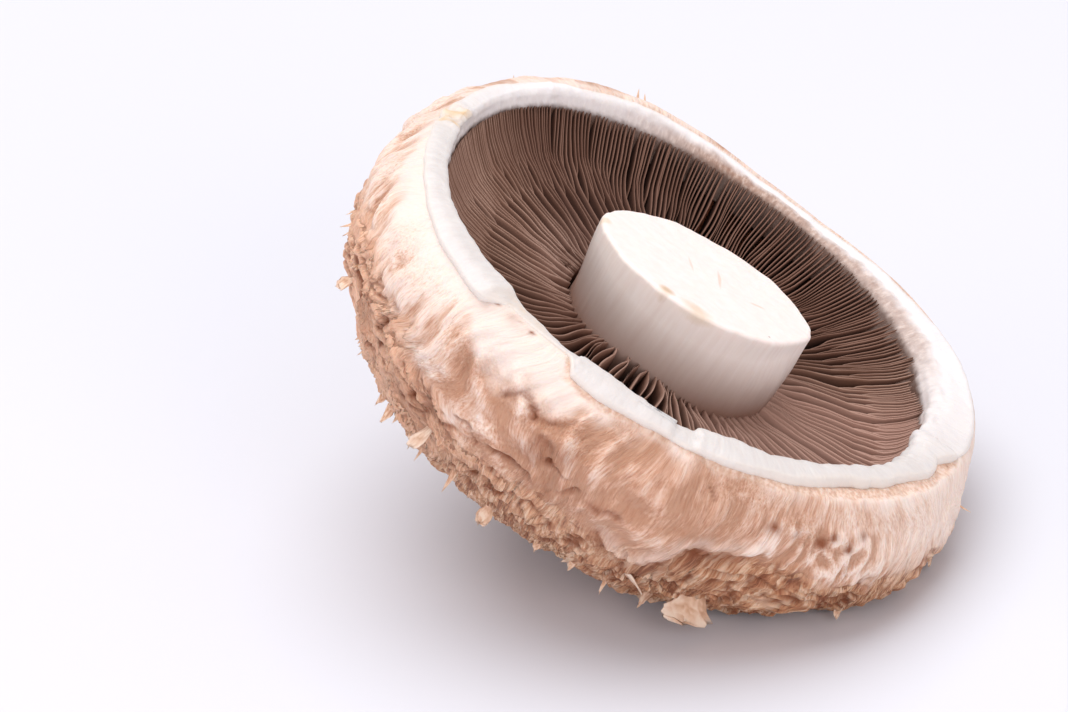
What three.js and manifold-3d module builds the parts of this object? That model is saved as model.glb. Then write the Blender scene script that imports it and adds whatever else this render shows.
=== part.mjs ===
// A portobello mushroom, picked and lying cap down on a table, leaning over on the flattened side of its cap.
// Four pieces come apart on a bench: the cap (its flesh and skin), the torn veil folded over the rim, the
// ring of gills under it, and the cut stem. Each is one closed solid in a mesh of its own.
//
// Units are millimetres and +Z is up. The shapes are drawn in the mushroom's own frame, in which +Z runs along
// the stem towards the knife cut, and the origin is where the stem's axis meets the plane of the rim. The whole
// is then leaned over, stood on the table at z = 0, and centred over the origin.
import * as THREE from "three";
import { mergeVertices } from "three/addons/utils/BufferGeometryUtils.js";
import Module from "manifold-3d";

const wasm = await Module();
wasm.setup();

const { degToRad, smoothstep, clamp } = THREE.MathUtils;

// ---- Driving dimensions -------------------------------------------------------------------------------------
const CAP_RADIUS = 52; // at the widest line of the cap
const CAP_DEPTH = 33; // from that line down to the crown
const WIDEST_Z = -9.7; // the widest line lies this far below the rim
const RIM_RADIUS = 43.4; // mean radius of the opening in the rim
const RIM_WIDTH = 4.4; // across the rounded top of the rim
const VEIL_THICKNESS = 1.2;
const STEM_RADIUS = 18.7;
const STEM_CUT_Z = 2.8; // height of the knife cut at the stem's axis
const GILL_COUNT = 72; // full-length gills
const GILL_INNER = 20.8; // the gills stop just short of the stem
const GILL_BED_THICKNESS = 0.9; // of the web that joins the gills at their roots
const FLESH_Z = -19.6; // where the stem grows out of the cap's flesh
const GAP = 0.3; // clearance left between pieces that touch

const LEAN = degToRad(31.4); // between the stem and the vertical
const LEAN_HEADING = degToRad(-12.4); // the stem leans to the right and a little forward
const SPIN = degToRad(-15.9); // turn about the stem's own axis
const SETTLED = 7; // how far the soft cap is flattened where it lies on the table

// ---- The mushroom's uneven outline --------------------------------------------------------------------------
// A picked mushroom is not quite round. Each of these gives how far a radius departs from its mean at an angle.
const rimWander = (a) =>
  3.1 * Math.sin(a) - 1.8 * Math.cos(a) + 1.7 * Math.sin(2 * a) - 0.5 * Math.cos(2 * a) - 0.9 * Math.cos(4 * a);
const rimWidthWander = (a) => 2 * Math.cos(a) + 0.6 * Math.sin(a);
const capWander = (a) => 0.6 * Math.sin(a) - Math.cos(a) + Math.cos(2 * a) + 1.5 * Math.cos(3 * a);
const stemWander = (a) => 0.9 * Math.cos(2 * (a + degToRad(125))) - 0.3 * Math.cos(3 * a);

// Moves a round solid's vertices in or out, so that the rim, the skin and the gills wander together while
// everything within the gills' inner edge stays round about the stem.
function wander(geometry) {
  const p = geometry.attributes.position;
  for (let i = 0; i < p.count; i++) {
    const r = Math.hypot(p.getX(i), p.getY(i));
    const a = Math.atan2(p.getY(i), p.getX(i));
    const outward = clamp((r - GILL_INNER) / (RIM_RADIUS - GILL_INNER), 0, 1);
    const atRim = smoothstep(p.getZ(i), WIDEST_Z, 0);
    const onShoulder = smoothstep(r, RIM_RADIUS, RIM_RADIUS + RIM_WIDTH);
    const rim = rimWander(a) + onShoulder * rimWidthWander(a);
    const moved = r + outward * (atRim * rim + (1 - atRim) * capWander(a));
    p.setXY(i, moved * Math.cos(a), moved * Math.sin(a));
  }
  return geometry;
}

// A LatheGeometry turns its profile about Y. This one is stood up to turn about Z.
function turned(profile, segments) {
  const points = profile.map(([r, z]) => new THREE.Vector2(r, z));
  return new THREE.LatheGeometry(points, segments).rotateX(Math.PI / 2);
}

// ---- The pieces ---------------------------------------------------------------------------------------------
const ROUND_SEGMENTS = 72;

// The skin's profile from the rim's top down to the widest line is a quarter of an ellipse.
// At 0 it is on top of the rim, and at 1 on the widest line.
function shoulder(t, inset = 0) {
  const top = RIM_RADIUS + RIM_WIDTH;
  const angle = (t * Math.PI) / 2;
  return [
    top + (CAP_RADIUS - top) * Math.sin(angle) - inset * Math.sin(angle),
    WIDEST_Z * (1 - Math.cos(angle)) - inset * Math.cos(angle),
  ];
}

// The cap: a deep bowl of white flesh. Its profile runs from the crown up the skin to the rim, over the rim
// under the veil, down the inner wall, and along the flesh that the gills and the stem grow from.
function capGeometry() {
  const DOME_STEPS = 10;
  const underVeil = VEIL_THICKNESS + GAP;
  const dome = Array.from({ length: DOME_STEPS + 1 }, (_, i) => {
    const angle = (i / DOME_STEPS) * (Math.PI / 2);
    return [CAP_RADIUS * Math.sin(angle), WIDEST_Z - CAP_DEPTH * Math.cos(angle)];
  });
  const rim = [
    shoulder(0.78),
    shoulder(0.66),
    shoulder(0.64, underVeil),
    shoulder(0.4, underVeil),
    shoulder(0, underVeil),
    [RIM_RADIUS + 1.9, -0.2 - underVeil],
    [RIM_RADIUS + 0.8, -1.1 - underVeil],
    [RIM_RADIUS - 0.1, -5.4],
  ];
  const flesh = [
    [RIM_RADIUS - 2.2, -8.8],
    [RIM_RADIUS - 6.4, -12.8],
    [30, -17],
    [GILL_INNER, FLESH_Z],
    [0, FLESH_Z],
  ];
  return wander(turned([...dome, ...rim, ...flesh], ROUND_SEGMENTS));
}

// The veil: the torn membrane that once closed the underside, now a pale collar folded over the rim.
function veilGeometry() {
  const LOWER_EDGE = 0.62;
  const outside = [
    shoulder(LOWER_EDGE),
    shoulder(0.4),
    shoulder(0),
    [RIM_RADIUS + 1.4, 0],
    [RIM_RADIUS, -0.8],
    [RIM_RADIUS - 1, -3],
  ];
  const inside = [
    [RIM_RADIUS - 0.2, -4],
    [RIM_RADIUS + 0.7, -0.9 - VEIL_THICKNESS],
    [RIM_RADIUS + 1.9, -0.1 - VEIL_THICKNESS],
    shoulder(0, VEIL_THICKNESS),
    shoulder(0.4, VEIL_THICKNESS),
    shoulder(LOWER_EDGE, VEIL_THICKNESS),
  ];
  return wander(turned([...outside, ...inside, outside[0]], ROUND_SEGMENTS));
}

// The gills: a thin web with a blade standing on it for each gill. The blades' free edges fall steeply from
// the wall of the cap to a nearly level floor round the stem. Four columns of the lathe make one gill and the
// groove beside it.
function gillsGeometry() {
  const roots = [
    [GILL_INNER, FLESH_Z + 2 * GAP],
    [30, -17 + 2 * GAP],
    [RIM_RADIUS - 6.8, -12.8 + 2 * GAP],
    [RIM_RADIUS - 2.9, -8.8 + GAP],
  ];
  const freeEdge = [
    [RIM_RADIUS - 1.9, -3.4],
    [RIM_RADIUS - 6.8, -7],
    [30, -8.1],
    [GILL_INNER, -8.8],
  ];
  const profile = [...roots, ...freeEdge, roots[0]];
  const grooveFloor = (row) => roots[profile.length - 2 - row][1] + GILL_BED_THICKNESS;
  const COLUMN_ANGLES = [0, 0.45, 0.55, 0.9]; // within one gill's pitch: the blade's faces, the groove's sides
  const columns = GILL_COUNT * COLUMN_ANGLES.length;
  const pitch = (2 * Math.PI) / GILL_COUNT;
  const geometry = turned(profile, columns);
  const p = geometry.attributes.position;
  for (let i = 0; i < p.count; i++) {
    const row = i % profile.length;
    const column = Math.floor(i / profile.length) % columns;
    const place = column % COLUMN_ANGLES.length;
    const a = ((column - place) / COLUMN_ANGLES.length + COLUMN_ANGLES[place]) * pitch;
    const onFreeEdge = row >= roots.length && row < profile.length - 1;
    const [r, z] = profile[row];
    p.setXYZ(i, r * Math.cos(a), r * Math.sin(a), onFreeEdge && place >= 2 ? grooveFloor(row) : z);
  }
  return wander(geometry);
}

// The stem: a short thick cylinder. The knife cut across it is not quite square to it.
function stemGeometry() {
  const CUT_SLOPE_X = 0.04;
  const CUT_SLOPE_Y = -0.16;
  const base = FLESH_Z + GAP;
  const profile = [
    [0, base],
    [STEM_RADIUS - 0.4, base],
    [STEM_RADIUS - 0.2, -10],
    [STEM_RADIUS + 0.1, STEM_CUT_Z - 0.8],
    [STEM_RADIUS - 0.7, STEM_CUT_Z],
    [0, STEM_CUT_Z],
  ];
  const geometry = turned(profile, 48);
  const p = geometry.attributes.position;
  for (let i = 0; i < p.count; i++) {
    const r = Math.hypot(p.getX(i), p.getY(i));
    const a = Math.atan2(p.getY(i), p.getX(i));
    const moved = r * (1 + stemWander(a) / STEM_RADIUS);
    const x = moved * Math.cos(a);
    const y = moved * Math.sin(a);
    const atCut = smoothstep(p.getZ(i), -10, STEM_CUT_Z - 0.8);
    p.setXYZ(i, x, y, p.getZ(i) + atCut * (CUT_SLOPE_X * x + CUT_SLOPE_Y * y));
  }
  return geometry;
}

// ---- Leaning it over and standing it on the table -----------------------------------------------------------
const leanAxis = new THREE.Vector3(-Math.sin(LEAN_HEADING), Math.cos(LEAN_HEADING), 0);
const pose = new THREE.Quaternion()
  .setFromAxisAngle(leanAxis, LEAN)
  .multiply(new THREE.Quaternion().setFromAxisAngle(new THREE.Vector3(0, 0, 1), SPIN));

function solidOf(geometry) {
  const bare = geometry.clone();
  bare.deleteAttribute("normal");
  bare.deleteAttribute("uv");
  const merged = mergeVertices(bare, 1e-3);
  const vertProperties = merged.attributes.position.array;
  const triVerts = new Uint32Array(merged.index.array);
  return new wasm.Manifold(new wasm.Mesh({ numProp: 3, vertProperties, triVerts }));
}

function geometryOf(solid) {
  const mesh = solid.getMesh();
  const geometry = new THREE.BufferGeometry();
  geometry.setAttribute("position", new THREE.BufferAttribute(mesh.vertProperties, 3));
  geometry.setIndex(new THREE.BufferAttribute(mesh.triVerts, 1));
  geometry.computeVertexNormals();
  return geometry;
}

// The lowest point of the leaned cap, and from it the height of the table against the flattened side.
const wholeCap = capGeometry();
const leanedCap = wholeCap.clone().applyQuaternion(pose);
leanedCap.computeBoundingBox();
const tableZ = leanedCap.boundingBox.min.z + SETTLED;

const SPAN = 200;
const belowTable = new THREE.BoxGeometry(SPAN, SPAN, SPAN).translate(0, 0, tableZ - SPAN / 2);
belowTable.applyQuaternion(pose.clone().invert());
const settledCap = geometryOf(solidOf(wholeCap).subtract(solidOf(belowTable)));

function piece(name, geometry, color, roughness) {
  const material = new THREE.MeshStandardMaterial({ color, roughness, metalness: 0 });
  const mesh = new THREE.Mesh(geometry, material);
  mesh.name = name;
  return mesh;
}

const mushroom = new THREE.Group();
mushroom.add(piece("cap", settledCap, "#c99a78", 0.85));
mushroom.add(piece("veil_remnant", veilGeometry(), "#f1ebe0", 0.6));
mushroom.add(piece("gills", gillsGeometry(), "#7d5a4e", 0.8));
mushroom.add(piece("stem", stemGeometry(), "#efe6dc", 0.65));
mushroom.quaternion.copy(pose);
mushroom.position.z = -tableZ;

const middle = new THREE.Box3().setFromObject(mushroom, true).getCenter(new THREE.Vector3());
mushroom.position.x = -middle.x;
mushroom.position.y = -middle.y;

const part = new THREE.Group();
part.add(mushroom);
export default part;
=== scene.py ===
from math import cos, pi, radians, sin

import bmesh
import bpy
import numpy as np
from mathutils import Matrix, Vector, noise


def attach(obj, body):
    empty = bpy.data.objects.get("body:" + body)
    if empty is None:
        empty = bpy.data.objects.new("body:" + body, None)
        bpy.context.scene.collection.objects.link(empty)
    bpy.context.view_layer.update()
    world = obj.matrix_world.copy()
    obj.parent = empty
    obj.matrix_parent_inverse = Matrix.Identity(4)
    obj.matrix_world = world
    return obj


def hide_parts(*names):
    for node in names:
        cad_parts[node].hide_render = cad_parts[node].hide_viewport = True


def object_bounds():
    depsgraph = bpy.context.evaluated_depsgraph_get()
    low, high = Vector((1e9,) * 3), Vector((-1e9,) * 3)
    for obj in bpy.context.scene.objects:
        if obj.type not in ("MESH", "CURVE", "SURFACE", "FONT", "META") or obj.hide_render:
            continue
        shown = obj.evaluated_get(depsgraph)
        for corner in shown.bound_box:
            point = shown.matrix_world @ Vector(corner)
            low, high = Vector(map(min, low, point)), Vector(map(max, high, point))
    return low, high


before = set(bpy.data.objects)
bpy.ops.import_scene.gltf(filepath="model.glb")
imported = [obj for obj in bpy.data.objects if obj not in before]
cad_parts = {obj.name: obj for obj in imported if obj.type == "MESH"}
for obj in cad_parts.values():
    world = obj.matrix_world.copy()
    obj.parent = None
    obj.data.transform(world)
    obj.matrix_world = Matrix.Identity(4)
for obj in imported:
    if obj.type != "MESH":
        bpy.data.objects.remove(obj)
cad_box = [list(corner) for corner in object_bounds()]


# ---- How the mushroom lies ---------------------------------------------------------------------------------
# Each piece is drawn in the mushroom's own frame, in millimetres: +Z runs along the stem towards the knife
# cut, and z = 0 is the plane of the rim. The whole lies cap down, leaning over on the side of its cap.
LEAN = radians(31.4)
LEAN_HEADING = radians(-12.4)
SPIN = radians(-15.9)
STEM_BASE_Z = -19.3

lean_axis = Vector((-sin(LEAN_HEADING), cos(LEAN_HEADING), 0))
own_to_table = Matrix.Rotation(LEAN, 3, lean_axis) @ Matrix.Rotation(SPIN, 3, "Z")
TURN = np.array(own_to_table)

# The round base of the solid stem gives where the stem's axis is.
stem_points = np.array([v.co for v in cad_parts["stem"].data.vertices]) @ TURN
stem_base = stem_points[stem_points[:, 2] < stem_points[:, 2].min() + 0.0005]
base_centre = (stem_base.min(0) + stem_base.max(0)) / 2
OWN_ORIGIN = TURN @ (base_centre - (0, 0, STEM_BASE_Z / 1000))


# ---- Camera, light and floor -------------------------------------------------------------------------------
# A long lens looks 25 degrees down at the mushroom, which lies on a plain white paper sheet. A wide softbox
# hangs overhead, two small pale fills stand low in front and at the left, and the room is pale all round.
CAMERA_PITCH = radians(25)
CAMERA_DISTANCE = 0.65
FOCAL_LENGTH_MM = 142.7
SENSOR_WIDTH_MM = 36
AIM_OFFSET = Vector((-0.0255, -0.0042, -0.0090))

toward_camera = Vector((0, -cos(CAMERA_PITCH), sin(CAMERA_PITCH)))
camera = bpy.data.objects.new("camera", bpy.data.cameras.new("camera"))
camera.data.lens = FOCAL_LENGTH_MM
camera.data.sensor_width = SENSOR_WIDTH_MM
camera.data.clip_end = 20
camera.location = Vector(OWN_ORIGIN) + AIM_OFFSET + toward_camera * CAMERA_DISTANCE
camera.rotation_euler = (pi / 2 - CAMERA_PITCH, 0, 0)
bpy.context.scene.collection.objects.link(camera)
bpy.context.scene.camera = camera


def linear(hex_colour):
    """An sRGB hex colour as linear red, green, blue and alpha."""
    channels = [int(hex_colour[i : i + 2], 16) / 255 for i in (1, 3, 5)]
    return [c / 12.92 if c < 0.04045 else ((c + 0.055) / 1.055) ** 2.4 for c in channels] + [1.0]


def add(tree, kind, *inputs, stops=None, **settings):
    """Adds one node with its settings, its inputs in order or by name, and a ramp's stops. A kind without
    "Node" in it is a ShaderNode. A node given as an input stands for its first output in use. A colour Mix
    has its factor at 0 and its two colours at 6 and 7."""
    node = tree.nodes.new(kind if "Node" in kind else "ShaderNode" + kind)
    for name, value in settings.items():
        setattr(node, name, value)
    by_name = inputs and isinstance(inputs[0], dict)
    for key, value in inputs[0].items() if by_name else enumerate(inputs):
        if isinstance(value, bpy.types.Node):
            value = next(output for output in value.outputs if output.enabled)
        if isinstance(value, bpy.types.NodeSocket):
            tree.links.new(value, node.inputs[key])
        else:
            is_colour = isinstance(value, str) and value.startswith("#")
            node.inputs[key].default_value = linear(value) if is_colour else value
    if stops:
        elements = node.color_ramp.elements
        while len(elements) < len(stops):
            elements.new(0.5)
        for element, (position, colour) in zip(elements, stops):
            element.position = position
            element.color = linear(colour)
    return node


def new_material(name):
    """An empty procedural material and its node tree."""
    material = bpy.data.materials.new(name)
    material.use_nodes = True
    material.node_tree.nodes.clear()
    return material, material.node_tree


def area_light(name, size, power, place, target, colour):
    """A round softbox: its width in metres, its power in watts, and its place and what it faces."""
    light = bpy.data.lights.new(name, "AREA")
    light.shape = "DISK"
    light.size = size
    light.energy = power
    light.color = linear(colour)[:3]
    lamp = bpy.data.objects.new(name, light)
    lamp.location = place
    lamp.rotation_euler = (Vector(target) - Vector(place)).to_track_quat("-Z", "Y").to_euler()
    bpy.context.scene.collection.objects.link(lamp)


middle = (Vector(cad_box[0]) + Vector(cad_box[1])) / 2
area_light("softbox", 2.2, 36.0, (-0.35, 0.3, 2.0), middle, "#FFFFFF")
area_light("front_fill", 0.8, 4.2, (0.42, -0.95, 0.38), middle, "#FFF8F4")
area_light("left_fill", 0.8, 2.5, (-0.85, -0.5, 0.22), (0, 0, 0.02), "#FBF8FF")

world = bpy.data.worlds.new("studio")
world.use_nodes = True
room = world.node_tree.nodes["Background"]
room.inputs["Color"].default_value = linear("#FFF2EE")
room.inputs["Strength"].default_value = 0.62
bpy.context.scene.world = world
bpy.context.scene.view_settings.view_transform = "Standard"

# Uncoated white paper: bright, quite matt, and a little cool.
paper, tree = new_material("white_paper_sheet")
surface = add(tree, "BsdfPrincipled", {"Base Color": "#D9DDE7", "Roughness": 0.9})
add(tree, "OutputMaterial", {"Surface": surface})

FLOOR_HALF = 3.0
floor_mesh = bpy.data.meshes.new("floor")
corners = [(-FLOOR_HALF, -FLOOR_HALF, 0), (FLOOR_HALF, -FLOOR_HALF, 0),
           (FLOOR_HALF, FLOOR_HALF, 0), (-FLOOR_HALF, FLOOR_HALF, 0)]
floor_mesh.from_pydata(corners, [], [(0, 1, 2, 3)])
floor_mesh.materials.append(paper)
floor = bpy.data.objects.new("floor", floor_mesh)
bpy.context.scene.collection.objects.link(floor)


# ---- The cap -----------------------------------------------------------------------------------------------
# The cap is a deep bowl of white flesh, grown in one with the stem, under a brown skin of matted fibres. As
# the cap spreads, the skin tears into flat brown scales at the crown, and frays into pale brushed fibres
# towards the rim.
CAP_RADIUS = 52.0
CAP_DEPTH = 33.0
WIDEST_Z = -9.7
RIM_RADIUS = 43.4
RIM_WIDTH = 4.4
GILL_INNER = 20.8
WALL_RADIUS = RIM_RADIUS - 0.5
# The rings have this many points, and the skin's rings are this far apart down to where it is plain.
AROUND = 640
RING_STEP = 0.44
FINE_REACH = 42
# A degree round the cap at its widest, in millimetres.
DEGREE = radians(1) * CAP_RADIUS
# The rim's crest is not quite level: how far it rises or sinks, at a few angles round it in degrees.
RIM_RISE = ([-180, -60, 0, 42, 60, 78, 92, 103, 117, 134, 150, 180],
            [0, 0, 0, 0, -0.5, -1.5, -1.0, 0.2, 1.1, 0.6, 0, 0])


def smooth(x, low, high):
    """A soft step from 0 at low to 1 at high."""
    t = np.clip((x - low) / (high - low), 0, 1)
    return t * t * (3 - 2 * t)


def window(x, start, full, fading, end):
    """1 between full and fading, with a soft step up before and down after."""
    return smooth(x, start, full) * (1 - smooth(x, fading, end))


def hump(off, width):
    """A bell of height 1 where off is 0."""
    return np.exp(-((off / width) ** 2))


def polar(r, a, z):
    """Points from radius, angle and height."""
    return np.stack(np.broadcast_arrays(r * np.cos(a), r * np.sin(a), z), -1)


def radius_and_angle(points):
    """How far points are from the stem's axis, and their angle round it."""
    return np.hypot(points[..., 0], points[..., 1]), np.arctan2(points[..., 1], points[..., 0])


def wander(points):
    """Moves round rings in or out to the mushroom's uneven outline, as the solid model does."""
    z = points[..., 2]
    r, a = radius_and_angle(points)
    outward = np.clip((r - GILL_INNER) / (RIM_RADIUS - GILL_INNER), 0, 1)
    at_rim = smooth(z, WIDEST_Z, 0)
    rim = 3.1 * np.sin(a) - 1.8 * np.cos(a) + 1.7 * np.sin(2 * a) - 0.5 * np.cos(2 * a) - 0.9 * np.cos(4 * a)
    rim = rim + smooth(r, RIM_RADIUS, RIM_RADIUS + RIM_WIDTH) * (2 * np.cos(a) + 0.6 * np.sin(a))
    cap = 0.6 * np.sin(a) - np.cos(a) + np.cos(2 * a) + 1.5 * np.cos(3 * a)
    moved = r + outward * (at_rim * rim + (1 - at_rim) * cap)
    rise = np.interp(np.degrees(a), *RIM_RISE) * smooth(r, WALL_RADIUS, RIM_RADIUS + 2) * smooth(z, -7, -0.5)
    return polar(moved, a, z + rise)


def rings(profile, count=AROUND):
    """Round rings, one for each radius and height, as an array of rows of points."""
    a = np.arange(count) * 2 * pi / count
    r, z = np.array(profile).T[..., None]
    return polar(r, a, z)


def shoulder_line(t):
    """Radius and height from the rim's top, where t is 0, to the cap's widest, where t is a right angle."""
    top = RIM_RADIUS + RIM_WIDTH
    return np.stack([top + (CAP_RADIUS - top) * np.sin(t), WIDEST_Z * (1 - np.cos(t))], 1)


def length_along(line):
    """The distance along a line at each of its points."""
    return np.concatenate([[0], np.cumsum(np.hypot(*np.diff(line, axis=0).T))])


def skin_profile():
    """Radius and height down the skin from the top of the rim to the crown, and the distance down it."""
    t = np.linspace(0, pi / 2, 400)
    dome = np.stack([CAP_RADIUS * np.cos(t), WIDEST_Z - CAP_DEPTH * np.sin(t)], 1)[1:]
    line = np.concatenate([shoulder_line(t), dome])
    length = length_along(line)
    fine = np.arange(0, FINE_REACH, RING_STEP)
    down = np.concatenate([fine, np.linspace(FINE_REACH, length[-1] - 0.4, 46)])
    return np.stack([np.interp(down, length, line[:, i]) for i in (0, 1)], 1), down


def grain(points, size, octaves=2, seed=0.0):
    """Soft noise of about -1 to 1, in lumps about size millimetres across."""
    flat = (points / np.asarray(size) + seed).reshape(-1, 3)
    values = [noise.fractal(p, 0.8, 2.1, octaves) for p in flat.tolist()]
    return np.array(values).reshape(points.shape[:-1])


def surface_normals(rows):
    """Outward normals of a grid of rings whose rows run from the rim to the crown."""
    along = np.gradient(rows, axis=0)
    around = np.roll(rows, -1, 1) - np.roll(rows, 1, 1)
    normal = np.cross(along, around)
    return normal / np.linalg.norm(normal, axis=-1, keepdims=True)


def store(mesh, name, values):
    """Gives every point of a mesh a number, a vector or a colour, by how many numbers it has."""
    values = np.asarray(values, np.float32)
    kinds = {1: ("FLOAT", "value"), 3: ("FLOAT_VECTOR", "vector"), 4: ("FLOAT_COLOR", "color")}
    kind, field = kinds[values.shape[1] if values.ndim == 2 else 1]
    mesh.attributes.new(name, kind, "POINT").data.foreach_set(field, values.ravel())


def finish_mesh(name, mesh, material):
    """Turns the faces outwards, smooths them, and puts the mesh in the scene under its material."""
    shell = bmesh.new()
    shell.from_mesh(mesh)
    bmesh.ops.recalc_face_normals(shell, faces=shell.faces)
    shell.to_mesh(mesh)
    shell.free()
    mesh.polygons.foreach_set("use_smooth", [True] * len(mesh.polygons))
    mesh.materials.append(material)
    piece = bpy.data.objects.new(name, mesh)
    bpy.context.scene.collection.objects.link(piece)
    return piece


def to_table(points):
    """Points in the mushroom's own frame, in millimetres, as they lie on the table, in metres."""
    return np.asarray(points) / 1000 @ TURN.T + OWN_ORIGIN


def ring_mesh(name, rows, closed_profile=False, attributes=None):
    """A mesh of rings; one-point rows are poles, and a closed profile joins its last row to its first."""
    rows = [np.atleast_2d(row) for row in rows]
    sizes = [len(row) for row in rows]
    starts = np.concatenate([[0], np.cumsum(sizes)])
    pairs = list(zip(range(len(rows)), range(1, len(rows))))
    if closed_profile:
        pairs.append((len(rows) - 1, 0))
    faces = []
    for i, j in pairs:
        a, b, n = int(starts[i]), int(starts[j]), max(sizes[i], sizes[j])
        for k in range(n):
            m = (k + 1) % n
            if sizes[i] == 1:
                faces.append((a, b + m, b + k))
            elif sizes[j] == 1:
                faces.append((a + k, a + m, b))
            else:
                faces.append((a + k, a + m, b + m, b + k))
    mesh = bpy.data.meshes.new(name)
    mesh.from_pydata(to_table(np.concatenate(rows)).tolist(), [], faces)
    for key, values in (attributes or {}).items():
        store(mesh, key, np.concatenate([np.atleast_2d(row) for row in values]))
    return mesh


# The skin's own coordinates: the angle round the stem, and the distance down from the rim.
profile, down = skin_profile()
skin = wander(rings(profile))
angle = radius_and_angle(skin)[1]
degrees = np.degrees(angle)
depth = np.broadcast_to(down[:, None], angle.shape)
normals = surface_normals(skin)

# The fibres lie down the slope, but drift round the dents in soft whirls.
belt_only = smooth(depth, 1, 7) * (1 - 0.55 * smooth(depth, 20, 34))
drift = np.stack([grain(skin, 17, 1, seed) for seed in (3.1, 17.7, 41.3)], -1)
curl = np.stack([grain(skin, 6.5, 1, seed) for seed in (90.1, 77.7, 58.3)], -1)
# On the high side they are combed round the cap instead.
combed = window(degrees, -165, -148, -122, -104) * window(depth, 13, 20, 32, 44)
combed = angle - 0.9 * combed * np.clip(depth - 22, -9, 9) / CAP_RADIUS
flow = polar(CAP_RADIUS, combed, depth)
flow = flow + (drift * np.array([6.5, 6.5, 5.5]) + curl * 0.7) * belt_only[..., None]
# The same places on the skin, without the combing and the whirls.
skin_round = polar(CAP_RADIUS, angle, depth)

# How far down the pale frayed belt reaches before the scales begin, at a few angles round the cap.
BELT = ([-180, -153, -140, -128, -122, -107, -97, -80, -71, -67, -57, -53, -45, -29, -13, 0, 60, 120, 180],
        [13, 10.5, 11.5, 13.5, 17, 21, 20.5, 21, 21, 15.5, 13, 12.5, 14, 12, 9.5, 9, 13, 15, 13])
belt_end = np.interp(degrees, *BELT) + 2.4 * grain(skin, 6, 2, 5.5)
scaly = smooth(depth, belt_end - 2.0, belt_end + 3.5)

# Soft ridges run down the belt 7 mm apart, with broad hollows between them and finer folds over them.
hollow = 2.6 * np.sqrt(grain(flow, (6.5, 6.5, 12), 1, 8.2) ** 2 + 0.004)
dents = grain(flow, (8, 8, 9), 2, 64.0)
fine_folds = 1 - 2.6 * np.abs(grain(flow, (2.6, 2.6, 9), 2, 18.5))
swell = grain(skin, 26, 2, 12.4)
belt_share = smooth(depth, 2.5, 8) * (1 - 0.6 * scaly)
# On the low side the belt is smoother, with a patch of upright pleats 1.8 mm apart.
plain_here = window(degrees, -84, -66, 10, 40) * (1 - smooth(depth, 11, 15))
pleat_here = window(degrees, -60, -54, -30, -24) * window(depth, 4.5, 7.0, 12, 15.5)
pleats = 1 - 3.0 * np.abs(grain(flow, (2.0, 2.0, 16), 1, 4.4))


def near_line(path):
    """Signed distance in millimetres from a path of angles and depths on the skin, positive below it."""
    best = np.full(depth.shape, 1e6)
    side = np.zeros(depth.shape)
    for (a0, d0), (a1, d1) in zip(path, path[1:]):
        px, py = (degrees - a0) * DEGREE, depth - d0
        ex, ey = (a1 - a0) * DEGREE, d1 - d0
        t = np.clip((px * ex + py * ey) / (ex * ex + ey * ey), 0, 1)
        away = np.hypot(px - t * ex, py - t * ey)
        closer = away < best
        best = np.where(closer, away, best)
        side = np.where(closer, np.sign(ex * py - ey * px), side)
    return best * side


# Single creases: for each one its path of angles and depths, its width and how deep it sinks in millimetres,
# and how dark its painted shade is.
CREASES = [
    ([(-107.5, 9.6), (-106.3, 8.4), (-105.2, 7.5), (-103.5, 7.7), (-102, 8.7), (-101.4, 9.5)], 0.5, 0.6, 0.6),
    ([(-101.2, 9.3), (-99, 8.7), (-97.3, 8.1), (-95.6, 6.8)], 0.4, 0.4, 0.4),
    ([(-112, 18), (-110.3, 17.5), (-109, 17.7)], 0.35, 0.5, 0.8),
    ([(-108.8, 18.7), (-107.5, 20.3)], 0.35, 0.5, 0.7),
    ([(-104.8, 18.9), (-102, 18.5), (-99, 18.7), (-96.6, 19.2)], 0.7, 1.1, 0.8),
    ([(-106, 27.7), (-102.7, 26.4)], 0.6, 1.0, 0.9),
    ([(-98.2, 26.6), (-94.3, 28.4)], 0.8, 1.2, 0.8),
    ([(-99.4, 13.5), (-98.6, 11.3), (-96.2, 12.2), (-95.2, 14.6)], 0.6, 0.5, 0.4),
    ([(-95.6, 14.5), (-93, 14.9), (-91.5, 14.5)], 0.4, 0.6, 0.6),
    ([(-91, 17.6), (-88.6, 16)], 0.6, 0.6, 0.4),
    ([(-91.9, 28.2), (-89.2, 27.7)], 0.5, 0.8, 0.8),
    ([(-69.2, 5.2), (-67.6, 6.4)], 0.25, 0.3, 0.9),
    ([(-82.6, 16.2), (-80.2, 16)], 0.7, 0.7, 0.5),
    ([(-145, 17.2), (-140, 17.8), (-135, 18.2), (-131.6, 19.4)], 0.5, 1.0, 0.9),
    ([(-130, 19.8), (-125.4, 22), (-121.5, 22.9)], 0.5, 1.0, 0.9),
    ([(-126, 19.5), (-122, 21.5), (-118.7, 25), (-114, 27.5)], 0.45, 0.9, 0.8),
    ([(-150, 15), (-146, 15.4), (-142, 15.2)], 0.4, 0.7, 0.7),
    ([(-138.4, 22.9), (-134, 25.5)], 0.5, 0.9, 0.9),
    ([(-148, 20), (-143, 21.5), (-138, 24)], 0.5, 0.9, 0.8),
    ([(-117, 21), (-112.5, 22.5)], 0.45, 0.8, 0.8),
    ([(-110, 30), (-104, 31.5), (-98, 31)], 0.5, 0.9, 0.8),
    ([(-90, 32), (-84, 33)], 0.5, 0.8, 0.8),
    ([(-60, 18.5), (-52, 17.3), (-47, 18.2)], 0.5, 0.8, 0.6),
    ([(-80, 30), (-72, 27)], 0.5, 0.9, 0.7)]
ragged = 0.5 * grain(skin, 1.6, 2, 5.1)
# Painted shade: the grooves of the creases are painted darker, and the mesh sinks them too.
painted_crease_shade = np.zeros(depth.shape)
crease_relief = np.zeros(depth.shape)
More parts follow.
